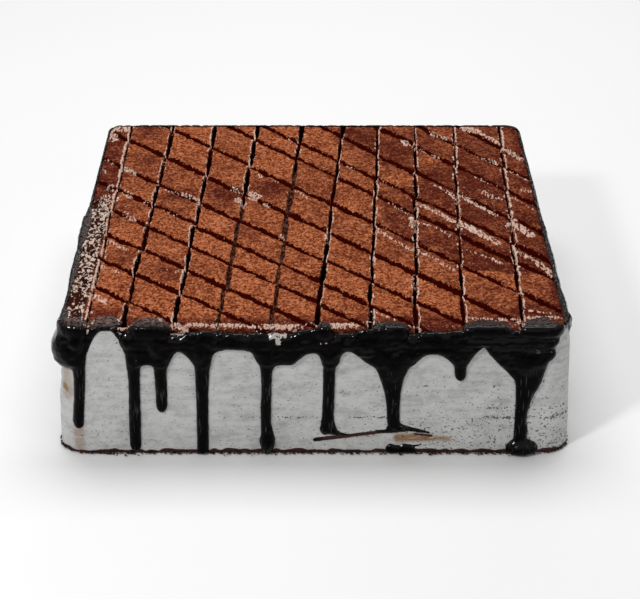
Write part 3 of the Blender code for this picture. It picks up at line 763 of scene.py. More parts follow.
def slant_grooves(x, y, strip):
    """For each point: how far it is into a slanted groove, from 0 beside it to 1 at its middle, and its
    distance from the nearest. The grooves wander, vary in width, and shift a little from strip to strip."""
    wider = streaks(x, y, [row._replace(half=row.half + 2.0) for row in DARK_RUNS], 1.2)
    groove, nearest = np.zeros_like(x), np.full_like(x, FAR)
    for number, (place, sin, cos) in enumerate(SLANTS):
        offset = 1.3 * (hash01(strip, number, 31) - 0.5)
        away = (x - place) * sin + (y - place) * cos - offset
        run = (x - place) * cos - (y - place) * sin
        away = np.abs(away + 0.5 * fractal(run / 3.0, number * 5.0, 2, 33))
        varied = 0.35 * (hash01(strip, number, 36) - 0.4)
        half = np.maximum(1.22 + 0.50 * noise(run / 4.0, number * 3.0, 35) + varied + 0.65 * wider, 0.6)
        groove = np.maximum(groove, 1 - np.clip(away / (1.6 * half), 0, 1))
        nearest = np.minimum(nearest, away)
    return groove, nearest


def tile_number(x, y):
    """A count of the slanted lines that lie in front of each point."""
    return sum(((x - place) * sin + (y - place) * cos > 0).astype(float) for place, sin, cos in SLANTS)


def cocoa_brightness(x, y, strip):
    """0 where the cocoa is dark and moist, 1 where it is dry and bright: bright on the left and along the
    front, dark at the back right and by the edges, with each tile a little different."""
    bright = ease(-7, 7, np.interp(y, BRIGHT_END_Y, BRIGHT_END_X) - x + 4 * noise(x / 7, y / 7, 51))
    bright = bright * (1 - np.minimum(1.25 * spots(x, y, DARK_PATCHES), 1))
    bright = np.maximum(bright, spots(x, y, BRIGHT_PATCHES))
    left = ease(-93, -86, x + 2 * noise(x / 4, y / 4, 54))
    bright = bright * left * ease(-93, -86, y) * ease(1, 6, HALF_TOP - x)
    tile = hash01(strip, tile_number(x, y), 52)
    varied = 0.64 + 0.48 * tile + 0.16 * fractal(x / 6, y / 6, 3, 53)
    return np.clip(bright * varied + 0.05 + 0.08 * fractal(x / 6, y / 6, 3, 57), 0, 1)


def slit_relief(away, slit, main, y):
    """What a slit adds to the height at a distance from its middle, how far into it that is where it is
    open and where it is smeared shut, and the lip beside it: nearly whole on its main side, in short runs
    on the other."""
    half, depth, dull = slit.half[:, None], slit.depth[:, None], slit.dull[:, None]
    share = 1 - np.clip(away / half, 0, 1) ** 2.2
    where = fractal(y / 2.6, slit.number * 3.0 + main, 2, 65)
    wide = KNIFE_LINES[slit.number].lip * (1 + 0.55 * noise(y / 3.5, slit.number * 2.0 + main, 69))
    ragged = ease(-0.6, 0.1, where + 2 * (wide - 0.32)) if main else 0.85 * ease(0.0, 0.5, where)
    lip = ragged * (1 - 0.5 * dull) * np.exp(-(((away - half - 0.6 * wide) / wide) ** 2))
    height = 0.36 * lip - depth * share - 0.35 * np.exp(-away / 1.1)
    # the mask after the height, larger where the slit is open and deep, carries the slit's painted shade
    return height, share * (1 - dull) * np.clip(depth / 2.6, 0, 1), share * dull, lip


def cocoa_surface(x, y, strip, beside, sizes):
    """A strip's height over the plain top, and the masks that colour it. beside lists, for the slits on either
    side, the distance to it, the slit and whether its main lip is on this side. A tile is rough with clumps of
    powder. Slits are steep gaps with a raised lip, slanted grooves are shallow and round."""
    groove, nearest = slant_grooves(x, y, strip)
    edge = np.minimum(edge_half_width(y) - np.abs(x), HALF_TOP - COCOA_INSET - np.abs(y))
    height = 0.30 * fractal(x / 14, y / 14, 2, 61) + sizes.grain / MM * fractal(x / 1.5, y / 1.2, 2, 62)
    height += 0.35 * (hash01(strip, tile_number(x, y), 63) - 0.5) * ease(0.3, 2.5, nearest)
    height -= sizes.groove_depth / MM * ease(0.25, 0.9, groove) * (0.8 + 0.3 * noise(x / 3, y / 3, 64))
    masks = {key: np.zeros_like(x) for key in ("slit", "smear", "lip")}
    for away, slit, main in beside:
        change, *found = slit_relief(away, slit, main, y)
        height += change
        masks = {key: np.maximum(mask, new) for (key, mask), new in zip(masks.items(), found)}
    torn = streaks(x, y, [row._replace(half=row.half * 1.45) for row in TORN]) ** 0.7
    mottle = ease(-90.0, -91.4, x + 0.8 * noise(x / 2, y / 2, 67))
    mottle *= ease(30, 2, y + 9 * noise(x / 2, y / 3, 70)) * (0.40 + 0.60 * ease(-80, -60, y))
    height += 0.30 * torn * (0.5 + 0.5 * noise(x / 0.9, y / 1.3, 66))
    height += 0.25 * mottle * noise(x / 0.9, y / 0.9, 68)
    rounding = EDGE_ROUNDING * (1 - round_profile(edge, EDGE_ROUNDING))
    height = height * ease(-0.2, 1.5, edge) - rounding
    masks.update({"groove": groove, "torn": torn, "mottle": mottle, "bright": cocoa_brightness(x, y, strip)})
    masks["flecks"] = np.maximum(spots(x, y, FLECK_PATCHES), 0.9 * ease(-90, -95, y))
    return height, masks


def closed_slab(x, y, height, bottom):
    """A grid surface with walls down from its border to a flat bottom: points and triangles, and for each
    point the grid point that it takes its masks from."""
    rows, columns = x.shape
    top = stacked(x, y, height).reshape(-1, 3)
    number = np.arange(rows * columns).reshape(rows, columns)
    border = np.concatenate((number[0], number[1:, -1], number[-1, -2::-1], number[-2:0:-1, 0]))
    foot = top[border].copy()
    foot[:, 2] = bottom
    below = len(top) + np.arange(len(border))
    centre = np.array(((foot[:, 0].mean(), foot[:, 1].mean(), bottom),))
    after, after_below = np.roll(border, -1), np.roll(below, -1)
    triangles = np.vstack(
        (
            grid_triangles(rows, columns),
            stacked(border, below, after_below),
            stacked(border, after_below, after),
            stacked(after_below, below, len(top) + len(border)),
        )
    )
    return np.vstack((top, foot, centre)), triangles, np.concatenate((number.ravel(), border, border[:1]))


def cocoa_strip(strip, y, slits, half, sizes):
    """One strip between two knife lines, or between one and the edge: its points' x, y and height, and
    their masks."""
    left = slits[strip - 1] if strip else None
    right = slits[strip] if strip < len(slits) else None
    start = left.centre if left else -half
    stop = right.centre if right else half
    x = strip_columns(start, stop, bool(left), bool(right))
    rows = np.broadcast_to(y[:, None], x.shape)
    beside = []
    if left:
        beside.append((x - start[:, None], left, left.number >= LEFT_LIPS))
    if right:
        beside.append((stop[:, None] - x, right, right.number < LEFT_LIPS))
    height, masks = cocoa_surface(x, rows, strip, beside, sizes)
    return {"x": x, "y": rows, "height": height, **masks}


def make_cocoa(material, sizes):
    """The scored top in three pieces that meet at the bottom of a slit. Each is a grid whose columns
    follow the knife lines, so that their edges stay sharp."""
    y = cocoa_rows()
    slits = [slit_along(number, y, sizes.slit_depth / MM) for number in range(len(KNIFE_LINES))]
    half = edge_half_width(y)
    for part, (first, stop) in enumerate(zip(COCOA_CUTS, COCOA_CUTS[1:])):
        strips = [cocoa_strip(strip, y, slits, half, sizes) for strip in range(first, stop)]
        rest = [{key: grid[:, 1:] for key, grid in strip.items()} for strip in strips[1:]]
        grids = {key: np.hstack([strip[key] for strip in (strips[0], *rest)]) for key in strips[0]}
        x, rows, height = (grids.pop(key) for key in ("x", "y", "height"))
        points, triangles, source = closed_slab(x, rows, HEIGHT - 0.1 + height, COCOA_LOW.z)
        masks = {key: grid.ravel()[source] for key, grid in grids.items()}
        piece = mesh_piece(f"cocoa_{part}", points, triangles, material, masks)
        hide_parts("cocoa_top")


def cocoa_finish(colours):
    """Cocoa powder: grainy, dry and bright or dark and moist, with cream where the knife tore it up. Painted
    shade darkens the hollows of its grain and painted light pales its raised clumps; deep in the slits a
    near-black painted shade stands for their shadow."""
    finish = Finish("cocoa_powder", Roughness=0.95, Specular_IOR_Level=0.0)
    grain = finish.noise(1.2, 2, (1.05, 1.20, 1), 2.0, 0.6)
    fine = finish.noise(0.6, 2, (1.2, 1.5, 1), 5.0)
    clumps = finish.noise(5.0, 3, (1.3, 0.9, 1), 9.0)
    teeth = finish.noise(1.0, 1, (0.9, 3.2, 1), 12.0)
    bright = finish.attribute("bright")
    tone = (bright + (clumps - 0.5) * 1.3).clamped()
    finish.colour = finish.mix(tone, colours.dark_cocoa, colours.bright_cocoa)
    rough = grain * 0.6 + fine * 0.4
    # painted shade: the grain's hollows, low in the same noise that the bump raises, go near-black red
    finish.lay(rough.ease(0.56, 0.40) * (bright * 0.05 + 0.77), (0.070, 0.005, 0.001, 1))
    # painted light: the grain's raised clumps go pale cocoa
    finish.lay(rough.ease(0.53, 0.66) * (bright * 0.45 + 0.25), (0.69, 0.31, 0.175, 1))
    finish.lay((finish.attribute("groove") + (teeth - 0.5) * 1.1).ease(0.28, 0.42), colours.groove)
    torn = (finish.attribute("torn") * 0.43 + teeth).ease(0.855, 0.915)
    lip = (finish.attribute("lip") * 0.63 + finish.noise(1.0, 2, (0.7, 2.6, 1), 15.0)).ease(0.86, 0.97)
    loose = (finish.attribute("flecks") * 0.14 + finish.noise(0.95, 1, (1.0, 1.5, 1), 18.0)).ease(0.80, 0.85)
    cream = torn.larger(lip).larger(loose * 0.8)
    streaked = (teeth * 0.5 + grain * 0.5).ease(0.46, 0.60)
    smeared = finish.mix(streaked, (0.034, 0.005, 0.003, 1), (0.125, 0.062, 0.042, 1))
    finish.lay((finish.attribute("smear") + (grain - 0.5) * 0.7).ease(0.15, 0.35), smeared)
    # painted shade: the slit mask grows with the slit's depth and opening; its outer part goes to the slanted
    # lines' dark cocoa and its middle to near-black, for the shadow in the knife line
    slit = finish.attribute("slit")
    finish.lay(slit.ease(0.08, 0.25), colours.groove)
    finish.lay(slit.ease(0.40, 0.65), colours.slit)
    paler = finish.noise(1.6, 2, shift=24.0).ease(0.40, 0.60)
    finish.lay(cream, finish.mix(paler, colours.fleck, (0.74, 0.54, 0.45, 1)))
    mottle = finish.attribute("mottle")
    patch = mottle.ease(0.1, 0.4)
    finish.lay(patch * 0.9, (0.030, 0.009, 0.006, 1))
    worms = (finish.noise(2.2, 1, (0.9, 1.6, 1), 21.0, twist=1.4) + mottle * 0.13).ease(0.625, 0.70)
    finish.lay(worms * patch, (0.66, 0.51, 0.43, 1))
    finish.bump(grain * 0.9 + fine * 0.35, 1.3, 1.0)
    return finish.material


# ---- ganache

GANACHE_ROW_STEP = 0.5
GANACHE_STEP_FRONT = 0.46
GANACHE_STEP = 0.66
GANACHE_LOW = 0.4  # the grid's lowest height
GANACHE_INNER = -0.35  # the skin's back, sunk into what it lies on
RIM_BEND = 2.6  # half the length over which the surface turns from the wall to the top
TOP_SPAN = 17.0  # how far the grid goes in over the top
FRONT_HALF_SPAN = HALF_STRAIGHT + CORNER_ARC + 34
# Thin runs and blobs low on the front: start x and height, end x and height, half widths, thickness.
Run = namedtuple("Run", "x0 z0 x1 z1 r0 r1 thick")
SMEARS = table(
    Run,
    (5.2, 10.9, 9.5, 9.6, 2.4, 0.9, 1.2), (9.5, 9.3, 13.5, 8.6, 0.7, 0.3, 0.4),
    (0.4, 6.1, 3.2, 6.8, 0.8, 0.4, 0.5), (31.6, 12.4, 36, 11.6, 2.7, 1.5, 1.4),
    (36, 11.8, 46, 9.7, 1.3, 0.35, 0.8), (30.5, 10.7, 25.5, 10, 0.9, 0.4, 0.5),
    (31, 2, 38.5, 1.8, 2.5, 2.2, 1.2), (38, 2.8, 43, 4.2, 0.8, 0.3, 0.3),
    (79.5, 1.5, 87.5, 1.8, 1.5, 1.4, 1.6),
)
# Pale cream smeared on the front of the rim, as streaks in x and height.
PALE = table(Streak, (-16.8, 53.4, -11.4, 54, 1.2, 1), (-14.3, 53, -13.9, 51, 1.2, 1))


def hidden_drips():
    """Drips and arches for the other three sides, by the rule that the solids follow."""
    rng = random.Random(HIDDEN_SEED)
    drips, arches = [], []
    x = SIDE_PITCH - HALF_STRAIGHT + FIRST_HIDDEN
    while x < 3 * SIDE_PITCH + HALF_STRAIGHT - LAST_HIDDEN:
        wide = rng.random() < 0.22
        half = rng.uniform(2.3, 2.8) + 0.5 * wide
        tip = rng.choice(HIDDEN_TIPS)
        shoulder = 31.0 if wide and tip < 20.0 else rng.uniform(39.5, 42.0)
        drips.append(Drip(x, half, tip, shoulder, shoulder, half * rng.uniform(1.0, 1.25)))
        step = rng.uniform(*HIDDEN_STEP)
        place = (x + step + HALF_STRAIGHT) % SIDE_PITCH
        if place > STRAIGHT - 4.0:
            step += SIDE_PITCH - place + 5.0
        middle = x + step * rng.uniform(0.42, 0.58)
        arches.append(Arch(middle, rng.uniform(44.5, 49.0), rng.uniform(1.5, 4.5)))
        x += step
    return tuple(drips), tuple(arches[:-1])


def lower_edge(along, drips, arches):
    """Height of the rim's lower edge: between two drips it falls from the arch's top to their shoulders
    with a power of the distance from the arch's middle."""
    edge = np.full(along.shape, 45.0)
    for number, (drip, arch) in enumerate(zip(drips, arches)):
        after = drips[(number + 1) % len(drips)]
        past = np.mod(along - drip.x, PERIMETER)
        span = (after.x - drip.x) % PERIMETER
        middle = (arch.x - drip.x) % PERIMETER
        rising = past < middle
        share = np.where(
            rising,
            (middle - past) / max(middle - drip.half, 1.0),
            (past - middle) / max(span - after.half - middle, 1.0),
        )
        shoulder = np.where(rising, drip.right, after.left)
        found = arch.top - (arch.top - shoulder) * np.clip(share, 0, 1) ** arch.power
        edge = np.where(past < span, found, edge)
    return edge


def drip_depth(along, v, drip, number):
    """Distance inside a drip's outline, and the half width that its thickness follows. It sways a
    little, thins downwards and ends in a ball."""
    sway = 0.4 * noise(v / 11.0, number * 4.0, 71)
    across = from_middle(along - drip.x) - sway
    shoulder = min(drip.left, drip.right)
    body = drip.half * (1 - 0.13 * ease(drip.tip + 20, drip.tip + 7, v))
    body = body * (1 + 0.05 * noise(v / 4.0, number * 3.0, 72))
    half = body + 1.1 * ease(shoulder - 3.5, shoulder + 3.0, v)
    centre = drip.tip + drip.foot
    stem = np.minimum(half - np.abs(across), v - centre + 1.0)
    ball = drip.foot - np.hypot(across, v - centre)
    balled = ease(-1.0, 1.0, ball - stem)
    inside = smooth_max(stem, ball, 1.0)
    return np.minimum(inside, 53.0 - v), blend(body, drip.foot, balled)


def inside_outline(x, v):
    """Distance inside the front's outline, less than 0 outside it: from the nearest of its edges, counting
    the edges that a level line from the point crosses. Its corners are cut once to round them."""
    path = np.array(FRONT_OUTLINE + ((112, 95), (-130, 95)), float)
    after = np.roll(path, -1, axis=0)
    path = np.stack((0.78 * path + 0.22 * after, 0.22 * path + 0.78 * after), 1).reshape(-1, 2)
    nearest, inside = np.full_like(x, FAR), np.zeros(x.shape, bool)
    for (x0, z0), (x1, z1) in zip(path, np.roll(path, -1, axis=0)):
        nearest = np.minimum(nearest, from_segment(x, v, x0, z0, x1, z1)[0])
        if z0 != z1:
            inside ^= ((z0 > v) != (z1 > v)) & (x < x0 + (v - z0) * (x1 - x0) / (z1 - z0))
    return np.where(inside, nearest, -nearest)


def ganache_field(along, v, thickness):
    """For each point of the unrolled surface, v being the height on the wall and going on inwards over
    the top: distance inside the ganache's outline and the height of the ganache over what it covers.
    The height rises from the outline as a quarter ellipse, whose width is a drip's half width or the
    rim's rounding, and rolls and hollows go over it. The outline is FRONT_OUTLINE on the front and the
    hidden sides' drips and arches elsewhere. Lumps and smears are laid on last."""
    drips, arches = hidden_drips()
    drips, arches = FRONT_ENDS + drips, FRONT_ARCHES[1:] + arches + FRONT_ARCHES[:1]
    low = lower_edge(along, drips, arches)
    slope = (lower_edge(along + 0.4, drips, arches) - lower_edge(along - 0.4, drips, arches)) / 0.8
    lean = np.sqrt(1 + np.clip(slope, -3, 3) ** 2)
    below = (v - low - 0.25 * fractal(along / 2.4, 0, 2, 80)) / lean
    reach = rim_value(along, "reach") * (1 + 0.18 * noise(along / 4, 0, 81))
    above = HEIGHT + reach + 0.5 * fractal(along / 1.8, v / 1.8, 2, 82) - v
    depth = -smooth_max(-below, -above * 0.85, 1.2)
    x = from_middle(along)
    usual = rim_value(along, "thick")
    share = usual * (1 + 0.18 * fractal(along / 8, v / 6, 2, 83) + 0.16 * fractal(along / 3.2, v / 2.6, 2, 86))
    roll = usual * np.exp(-(((v - HEIGHT - 0.2) / 2.0) ** 2))
    folded = 0.12 + 0.28 * ease(56, 62, x) * ease(101, 97, x)
    folds = sum(np.exp(-(((v - at - noise(along / 13, at, 84)) / 0.9) ** 2)) for at in (52.6, 48.2))
    thick = thickness * (share + 0.16 * roll - folded * folds)
    rim_thick = thick = thick * np.interp(v, (HEIGHT - 1, HEIGHT + 3), (1.0, 0.66))
    rounding = np.full_like(depth, 3.0)
    for number, drip in enumerate(drips):
        inside, body = drip_depth(along, v, drip, number)
        near = ease(-3.5, 1.5, inside - depth)
        rounding = blend(rounding, body, near)
        flat = np.clip(rim_value(drip.x, "thick") + 0.25, 0.5, 1.0)
        thick = blend(thick, 0.80 * flat * np.minimum(body, 4.5), near)
        depth = smooth_max(depth, inside, 2.0)
    front = ease(-110, -101, x) * ease(103, 98, x)
    traced = inside_outline(x, v) + 0.12 * fractal(along / 2.0, v / 3.0, 2, 89)
    stem = ease(41.2, 39.0, v + 0.5 * noise(x / 6, 0, 90))
    stem_thick = 1.85 + 0.18 * fractal(along / 4.0, v / 6.0, 2, 91)
    depth = blend(depth, -smooth_max(-traced, -above * 0.85, 1.2), front)
    rounding = blend(rounding, 2.9 - 0.5 * stem, front)
    thick = blend(thick, blend(rim_thick * 1.05, stem_thick, stem), front)
    height = thick * round_profile(depth, rounding) * (0.92 + 0.08 * ease(1.5, 6.0, depth))
    return with_lumps(along, v, depth, height)


def with_lumps(along, v, depth, height):
    """Lays domes, each a power of 1 minus the squared distance from its middle, and thin smears on the
    ganache, both blended into it. Takes and returns the distance inside the outline and the height."""
    x = from_middle(along)
    for lump in LUMPS:
        radius = np.hypot((x - lump.along) / lump.half_along, (v - lump.v) / lump.half_v)
        radius = radius + 0.07 * fractal(along / 1.8, v / 1.8, 2, 87)
        dome = lump.thick * np.clip(1 - radius**2, 0, 1) ** 0.65
        dome = dome * (1 + 0.04 * fractal(along / 2.5, v / 2.5, 2, 88))
        height = np.where(radius < 1, smooth_max(height, dome, np.clip(1.2 * dome, 1e-9, 1.2)), height)
        depth = smooth_max(depth, (1 - radius) * min(lump.half_along, lump.half_v), 0.5)
    for run in SMEARS:
        away, place = from_segment(x, v, *run[:4])
        half = (run.r0 + (run.r1 - run.r0) * place) * (1 + 0.22 * noise(along / 1.9, v / 1.9, 77))
        skin = run.thick * round_profile(half - away, half)
        height = np.where(half > away, smooth_max(height, skin, 0.25), height)
        depth = np.maximum(depth, half - away)
    return depth, height


def unrolled_place(along, v, height):
    """The point over the cake's surface at a height above it, v being as in ganache_field: on the wall it
    stands out level, on top it stands up, and round the edge the direction turns between."""
    point, out = rim_frame(along)
    on_wall = np.minimum(v, HEIGHT)
    inward = np.maximum(v - HEIGHT, 0)
    angle = math.pi / 2 * ease(HEIGHT - RIM_BEND, HEIGHT + RIM_BEND, v)
    reach = wall(along, on_wall) - inward + height * np.cos(angle)
    z = on_wall + height * np.sin(angle)
    return raised(point + out * reach[..., None], z)


def clip_grid(depth):
    """Triangles of a grid cut off where depth passes 0. Returns, for each point of the cut surface, the two
    grid points that it lies between and its share of the way, and the triangles."""
    triangles = grid_triangles(*depth.shape)
    value = depth.ravel().copy()
    value[np.abs(value) < 0.03] = 0.03
    inside = value[triangles] > 0
    count = inside.sum(1)

    def turned(mask, odd):
        """Triangles rotated so that the corner unlike the others comes first."""
        first = np.argmax(inside[mask] == odd, axis=1)
        order = (first[:, None] + np.arange(3)) % 3
        return np.take_along_axis(triangles[mask], order, 1)

    one, two = turned(count == 1, True), turned(count == 2, False)
    cuts = np.vstack([kind[:, (0, end)] for kind in (one, two) for end in (1, 2)])
    unique, back = np.unique(np.sort(cuts, axis=1), axis=0, return_inverse=True)
    back = back.ravel() + value.size
    sizes = np.cumsum([0, len(one), len(one), len(two), len(two)])
    p, q, r, s = (back[a:b] for a, b in zip(sizes, sizes[1:]))
    made = np.vstack(
        (
            triangles[count == 3],
            stacked(one[:, 0], p, q),
            stacked(r, two[:, 1], two[:, 2]),
            stacked(r, two[:, 2], s),
        )
    )
    start, end = value[unique[:, 0]], value[unique[:, 1]]
    share = np.concatenate((np.zeros(value.size), start / (start - end)))
    first = np.concatenate((np.arange(value.size), unique[:, 0]))
    second = np.concatenate((np.arange(value.size), unique[:, 1]))
    used, made = np.unique(made, return_inverse=True)
    return first[used], second[used], share[used], made.reshape(-1, 3)


def border_edges(triangles):
    """Edges that only one triangle has, in that triangle's direction."""
    edges = np.vstack((triangles[:, (0, 1)], triangles[:, (1, 2)], triangles[:, (2, 0)]))
    key = np.sort(edges, axis=1)
    key = key[:, 0].astype(np.int64) * (triangles.max() + 1) + key[:, 1]
    _, index, count = np.unique(key, return_index=True, return_counts=True)
    return edges[index[count == 1]]


def mark_shoulders(mesh):
    """Marks where the ganache's surface faces half way up, from 0 to 1: there it is wettest."""
    up = np.empty(3 * len(mesh.vertices), np.float32)
    mesh.vertices.foreach_get("normal", up)
    up = up[2::3]
    mark(mesh, "shoulder", ease(0.30, 0.50, up) * ease(0.92, 0.80, up))


def ganache_piece(name, start, stop, step, material, thickness):
    """One stretch of the ganache: the unrolled field on a grid, cut at its outline, with a back sunk into
    the cake and a wall between the two along every border."""
    columns = int(round((stop - start) / step)) + 1
    rows = int(round((HEIGHT + TOP_SPAN - GANACHE_LOW) / GANACHE_ROW_STEP)) + 1
    levels = np.linspace(GANACHE_LOW, HEIGHT + TOP_SPAN, rows)
    v, along = np.meshgrid(levels, np.linspace(start, stop, columns), indexing="ij")
    depth, height = ganache_field(along, v, thickness)
    depth[[0, -1]] = -1
    first, second, share, triangles = clip_grid(depth)

    def between(grid):
        """A grid's values at the points of the cut surface."""
        flat = grid.ravel()
        return blend(flat[first], flat[second], share)

    where, level = between(along), between(v)
    skin = np.where(share > 0, 0.0, height.ravel()[first])
    outer = unrolled_place(where, level, skin)
    inner = unrolled_place(where, level, np.full(len(skin), GANACHE_INNER))
    count = len(outer)
    a, b = border_edges(triangles).T
    walls = stacked(b, a, a + count), stacked(b, a + count, b + count)
    faces = np.vstack((triangles, triangles[:, ::-1] + count, *walls))
    masks = {
        "dusty": rim_value(where, "dust") * ease(HEIGHT - 0.5, HEIGHT + 2.5, level),
        "pale": streaks(from_middle(where), level, PALE),
        "stem": ease(42.0, 38.0, level),
    }
    masks = {key: np.tile(value, 2) for key, value in masks.items()}
    piece = mesh_piece(name, np.vstack((outer, inner)), faces, material, masks)
    mark_shoulders(piece.data)
    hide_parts("ganache")
    return piece


def ganache_finish(colours):
    """Wet near-black chocolate, dulled by cocoa where it lies on top. A clear coat makes it wettest on
    its shoulders and in upright streaks on the drips."""
    gloss = {"Specular_IOR_Level": 0.2, "Specular_Tint": (0.10, 0.10, 0.10, 1), "Coat_Roughness": 0.08}
    finish = Finish("ganache_gloss", **gloss)
    dusty = finish.attribute("dusty")
    powder = finish.noise(0.9, 3, (1.4, 1.0, 1), 4.0, 0.6)
    dust = (dusty * powder.ease(0.43, 0.62)).clamped()
    finish.colour = finish.mix(dust * 0.9, colours.ganache, colours.dust)
    specks = (finish.noise(0.8, 2, (1.5, 1.0, 1), 8.0) + dusty * 0.12).ease(0.76, 0.81)
    finish.lay(specks * 0.6, (0.34, 0.26, 0.22, 1))
    smear = (finish.attribute("pale") * 0.50 + finish.noise(0.9, 2, shift=3.0)).ease(0.86, 0.93)
    finish.lay(smear, (0.50, 0.46, 0.42, 1))
    finish.link("Roughness", 0.11 + dust * 0.4 + smear * 0.5)
    runs = finish.noise(0.9, 1, (1, 1, 9), 12.0).ease(0.60, 0.74)
    finish.link("Coat Weight", runs * finish.attribute("stem") * 0.65 + finish.attribute("shoulder") * 0.9)
    lumps = finish.noise(2.2, 2, (1, 1, 1.6), 1.0)
    finish.bump(lumps * 0.5 + powder * 0.4 * dusty, 0.7, 0.8)
    return finish.material


# ---- loose bits

FLECK_DENSITY = 0.4  # for each square millimetre of a streak
RIM_FLECK_DENSITY = 0.8
FLECK_SEEDS = (5, 6)  # for where the bits lie and for their shapes
CRUMB_SEEDS = (8, 9)
CRUMB_COUNT = 3200
# Cream crumbs caught on the rim, as streaks in the length along the front and the unrolled height.
RIM_FLECKS = table(
    Streak,
    (-90.6, 66, -90.4, 58.5, 0.35, 1), (-90.4, 58.5, -89.2, 56.6, 0.4, 1), (-89.2, 56.6, -87.8, 58, 0.4, 1),
    (-87.8, 58, -85, 60.5, 0.6, 0.9), (-76.2, 63, -76, 57, 0.35, 1), (-76, 57, -74, 55.8, 0.45, 1),
    (-74, 55.8, -69.5, 59, 0.8, 0.9), (-62, 62, -55.8, 55.8, 0.35, 0.8), (-55.4, 64, -55.3, 57, 0.35, 0.8),
    (-54.5, 60, -52, 53.5, 1.9, 1), (-50, 59, -37, 59.5, 1.5, 0.9), (-36, 58, -26, 58, 1.3, 0.8),
    (-26, 57, -20, 54.5, 0.35, 0.6), (-19, 58, -8, 57.5, 1.6, 1), (-6, 60, 0, 60.5, 0.8, 0.5),
    (0.8, 58.5, 1.8, 54, 0.35, 0.9), (1.8, 51.6, 5, 51.4, 0.4, 1), (8, 56.5, 15.5, 59.5, 1.7, 1),
    (16, 61, 26, 61.5, 0.8, 0.5), (37, 58, 40.5, 57, 0.5, 0.9), (60, 63, 76, 62, 0.7, 0.5),
    (78, 63.5, 82, 58, 0.7, 0.9), (84, 63, 97, 62.5, 0.8, 0.5),
)


def crumb_shapes(centres, sizes, turns, seed):
    """Many small irregular lumps in one mesh. Each is an icosahedron stretched along x, turned about z by
    its angle, its corners moved in or out at random."""
    golden = (1 + 5**0.5) / 2
    corners = np.array([(0, a, b * golden) for a in (-1, 1) for b in (-1, 1)], float)
    corners = np.vstack((corners, corners[:, (2, 0, 1)], corners[:, (1, 2, 0)])) / math.hypot(1, golden)
    near = corners @ corners.T > 0.4
    faces = np.array([face for face in combinations(range(12), 3) if near[np.ix_(face, face)].all()])
    a, b, c = (corners[faces[:, end]] for end in range(3))
    flip = (np.cross(b - a, c - a) * a).sum(1) < 0
    faces[flip] = faces[flip][:, ::-1]
    rng = np.random.default_rng(seed)
    shape = corners[None] * rng.uniform(0.65, 1.2, (len(centres), 12, 1)) * sizes[:, None, :]
    cos, sin = np.cos(turns)[:, None], np.sin(turns)[:, None]
    x = shape[..., 0] * cos - shape[..., 1] * sin
    y = shape[..., 0] * sin + shape[..., 1] * cos
    points = stacked(x, y, shape[..., 2]) + centres[:, None]
    triangles = faces[None] + 12 * np.arange(len(centres))[:, None, None]
    return points.reshape(-1, 3), triangles.reshape(-1, 3)


def strewn(rows, rng, density):
    """Points strewn over streaks: even along each, a bell curve across it, as many as its area asks for."""
    found = []
    for row in rows:
        length = math.hypot(row.x1 - row.x0, row.y1 - row.y0)
        count = int(density * row.strength**2 * (length + row.half) * 2 * row.half) + 1
        share, across = rng.random(count) * length, rng.normal(0, row.half * 0.55, count)
        dx, dy = (row.x1 - row.x0) / length, (row.y1 - row.y0) / length
        found.append(stacked(row.x0 + share * dx - across * dy, row.y0 + share * dy + across * dx))
    return np.vstack(found)


def make_flecks(material, thickness):
    """Torn bits of cream in the streaks on top and on the ganache's rolled edge."""
    rng = np.random.default_rng(FLECK_SEEDS[0])
    place = strewn(TORN, rng, FLECK_DENSITY)
    x, y = np.abs(place).T
    place = place[(edge_half_width(y) - x > 1.0) & (y < HALF_TOP - 1.5)]
    on_top = raised(place, HEIGHT - 0.02)
    along, v = strewn(RIM_FLECKS, rng, RIM_FLECK_DENSITY).T
    depth, height = ganache_field(along, v, thickness)
    centres = np.vstack((on_top, unrolled_place(along, v, np.where(depth > 0, height, 0.0) + 0.05)))
    size = np.exp(rng.normal(-1.05, 0.30, len(centres)))
    sizes = stacked(size * rng.uniform(1.4, 3.2, len(size)), size * 0.75, size * 0.55)
    turns = math.pi / 2 + rng.normal(0.1, 0.45, len(size))
    points, faces = crumb_shapes(centres, sizes, turns, FLECK_SEEDS[1])
    return mesh_piece("cream_flecks", points, faces, material)


def make_base_crumbs(material):
    """Crumbs of cocoa along the foot of the cake."""
    rng = np.random.default_rng(CRUMB_SEEDS[0])
    along = rng.uniform(0, PERIMETER, CRUMB_COUNT)
    point, out = rim_frame(along)
    size = np.exp(rng.normal(-1.25, 0.35, CRUMB_COUNT))
    sizes = stacked(size * 1.4, size, size * 0.7)
    height = np.abs(rng.normal(0, 0.45, CRUMB_COUNT)) + size * 0.85
    loose = 0.2 + 0.5 * (np.abs(from_middle(along)) < HALF_STRAIGHT)
    reach = wall(along, height) + size * 0.1 + np.abs(rng.normal(0, 1, CRUMB_COUNT)) * loose * (height < 0.9)
    centres = raised(point + out * reach[:, None], height)
    turns = np.arctan2(out[:, 1], out[:, 0]) + math.pi / 2
    points, faces = crumb_shapes(centres, sizes, turns, CRUMB_SEEDS[1])
    return mesh_piece("base_crumbs", points, faces, material)


def loose_finish(name, roughness, size, span, first, second):
    """Loose bits: a colour between two that changes from bit to bit, and a fine relief."""
    finish = Finish(name, Roughness=roughness)
    finish.link("Base Color", finish.mix(finish.noise(size, 2).ease(*span), first, second))
    finish.bump(finish.noise(0.4, 2), 0.15)
    return finish.material


def fleck_finish(colours):
    """Crumbs of cream, some pinkish with cocoa."""
    return loose_finish("torn_cream", 0.6, 2.2, (0.35, 0.65), colours.fleck, (0.66, 0.50, 0.41, 1))


def crumb_finish():
    """Red-brown to near-black crumbs."""
    return loose_finish("crumb", 0.85, 3, (0.40, 0.60), (0.06, 0.012, 0.007, 1), (0.012, 0.005, 0.004, 1))


# ---- stage

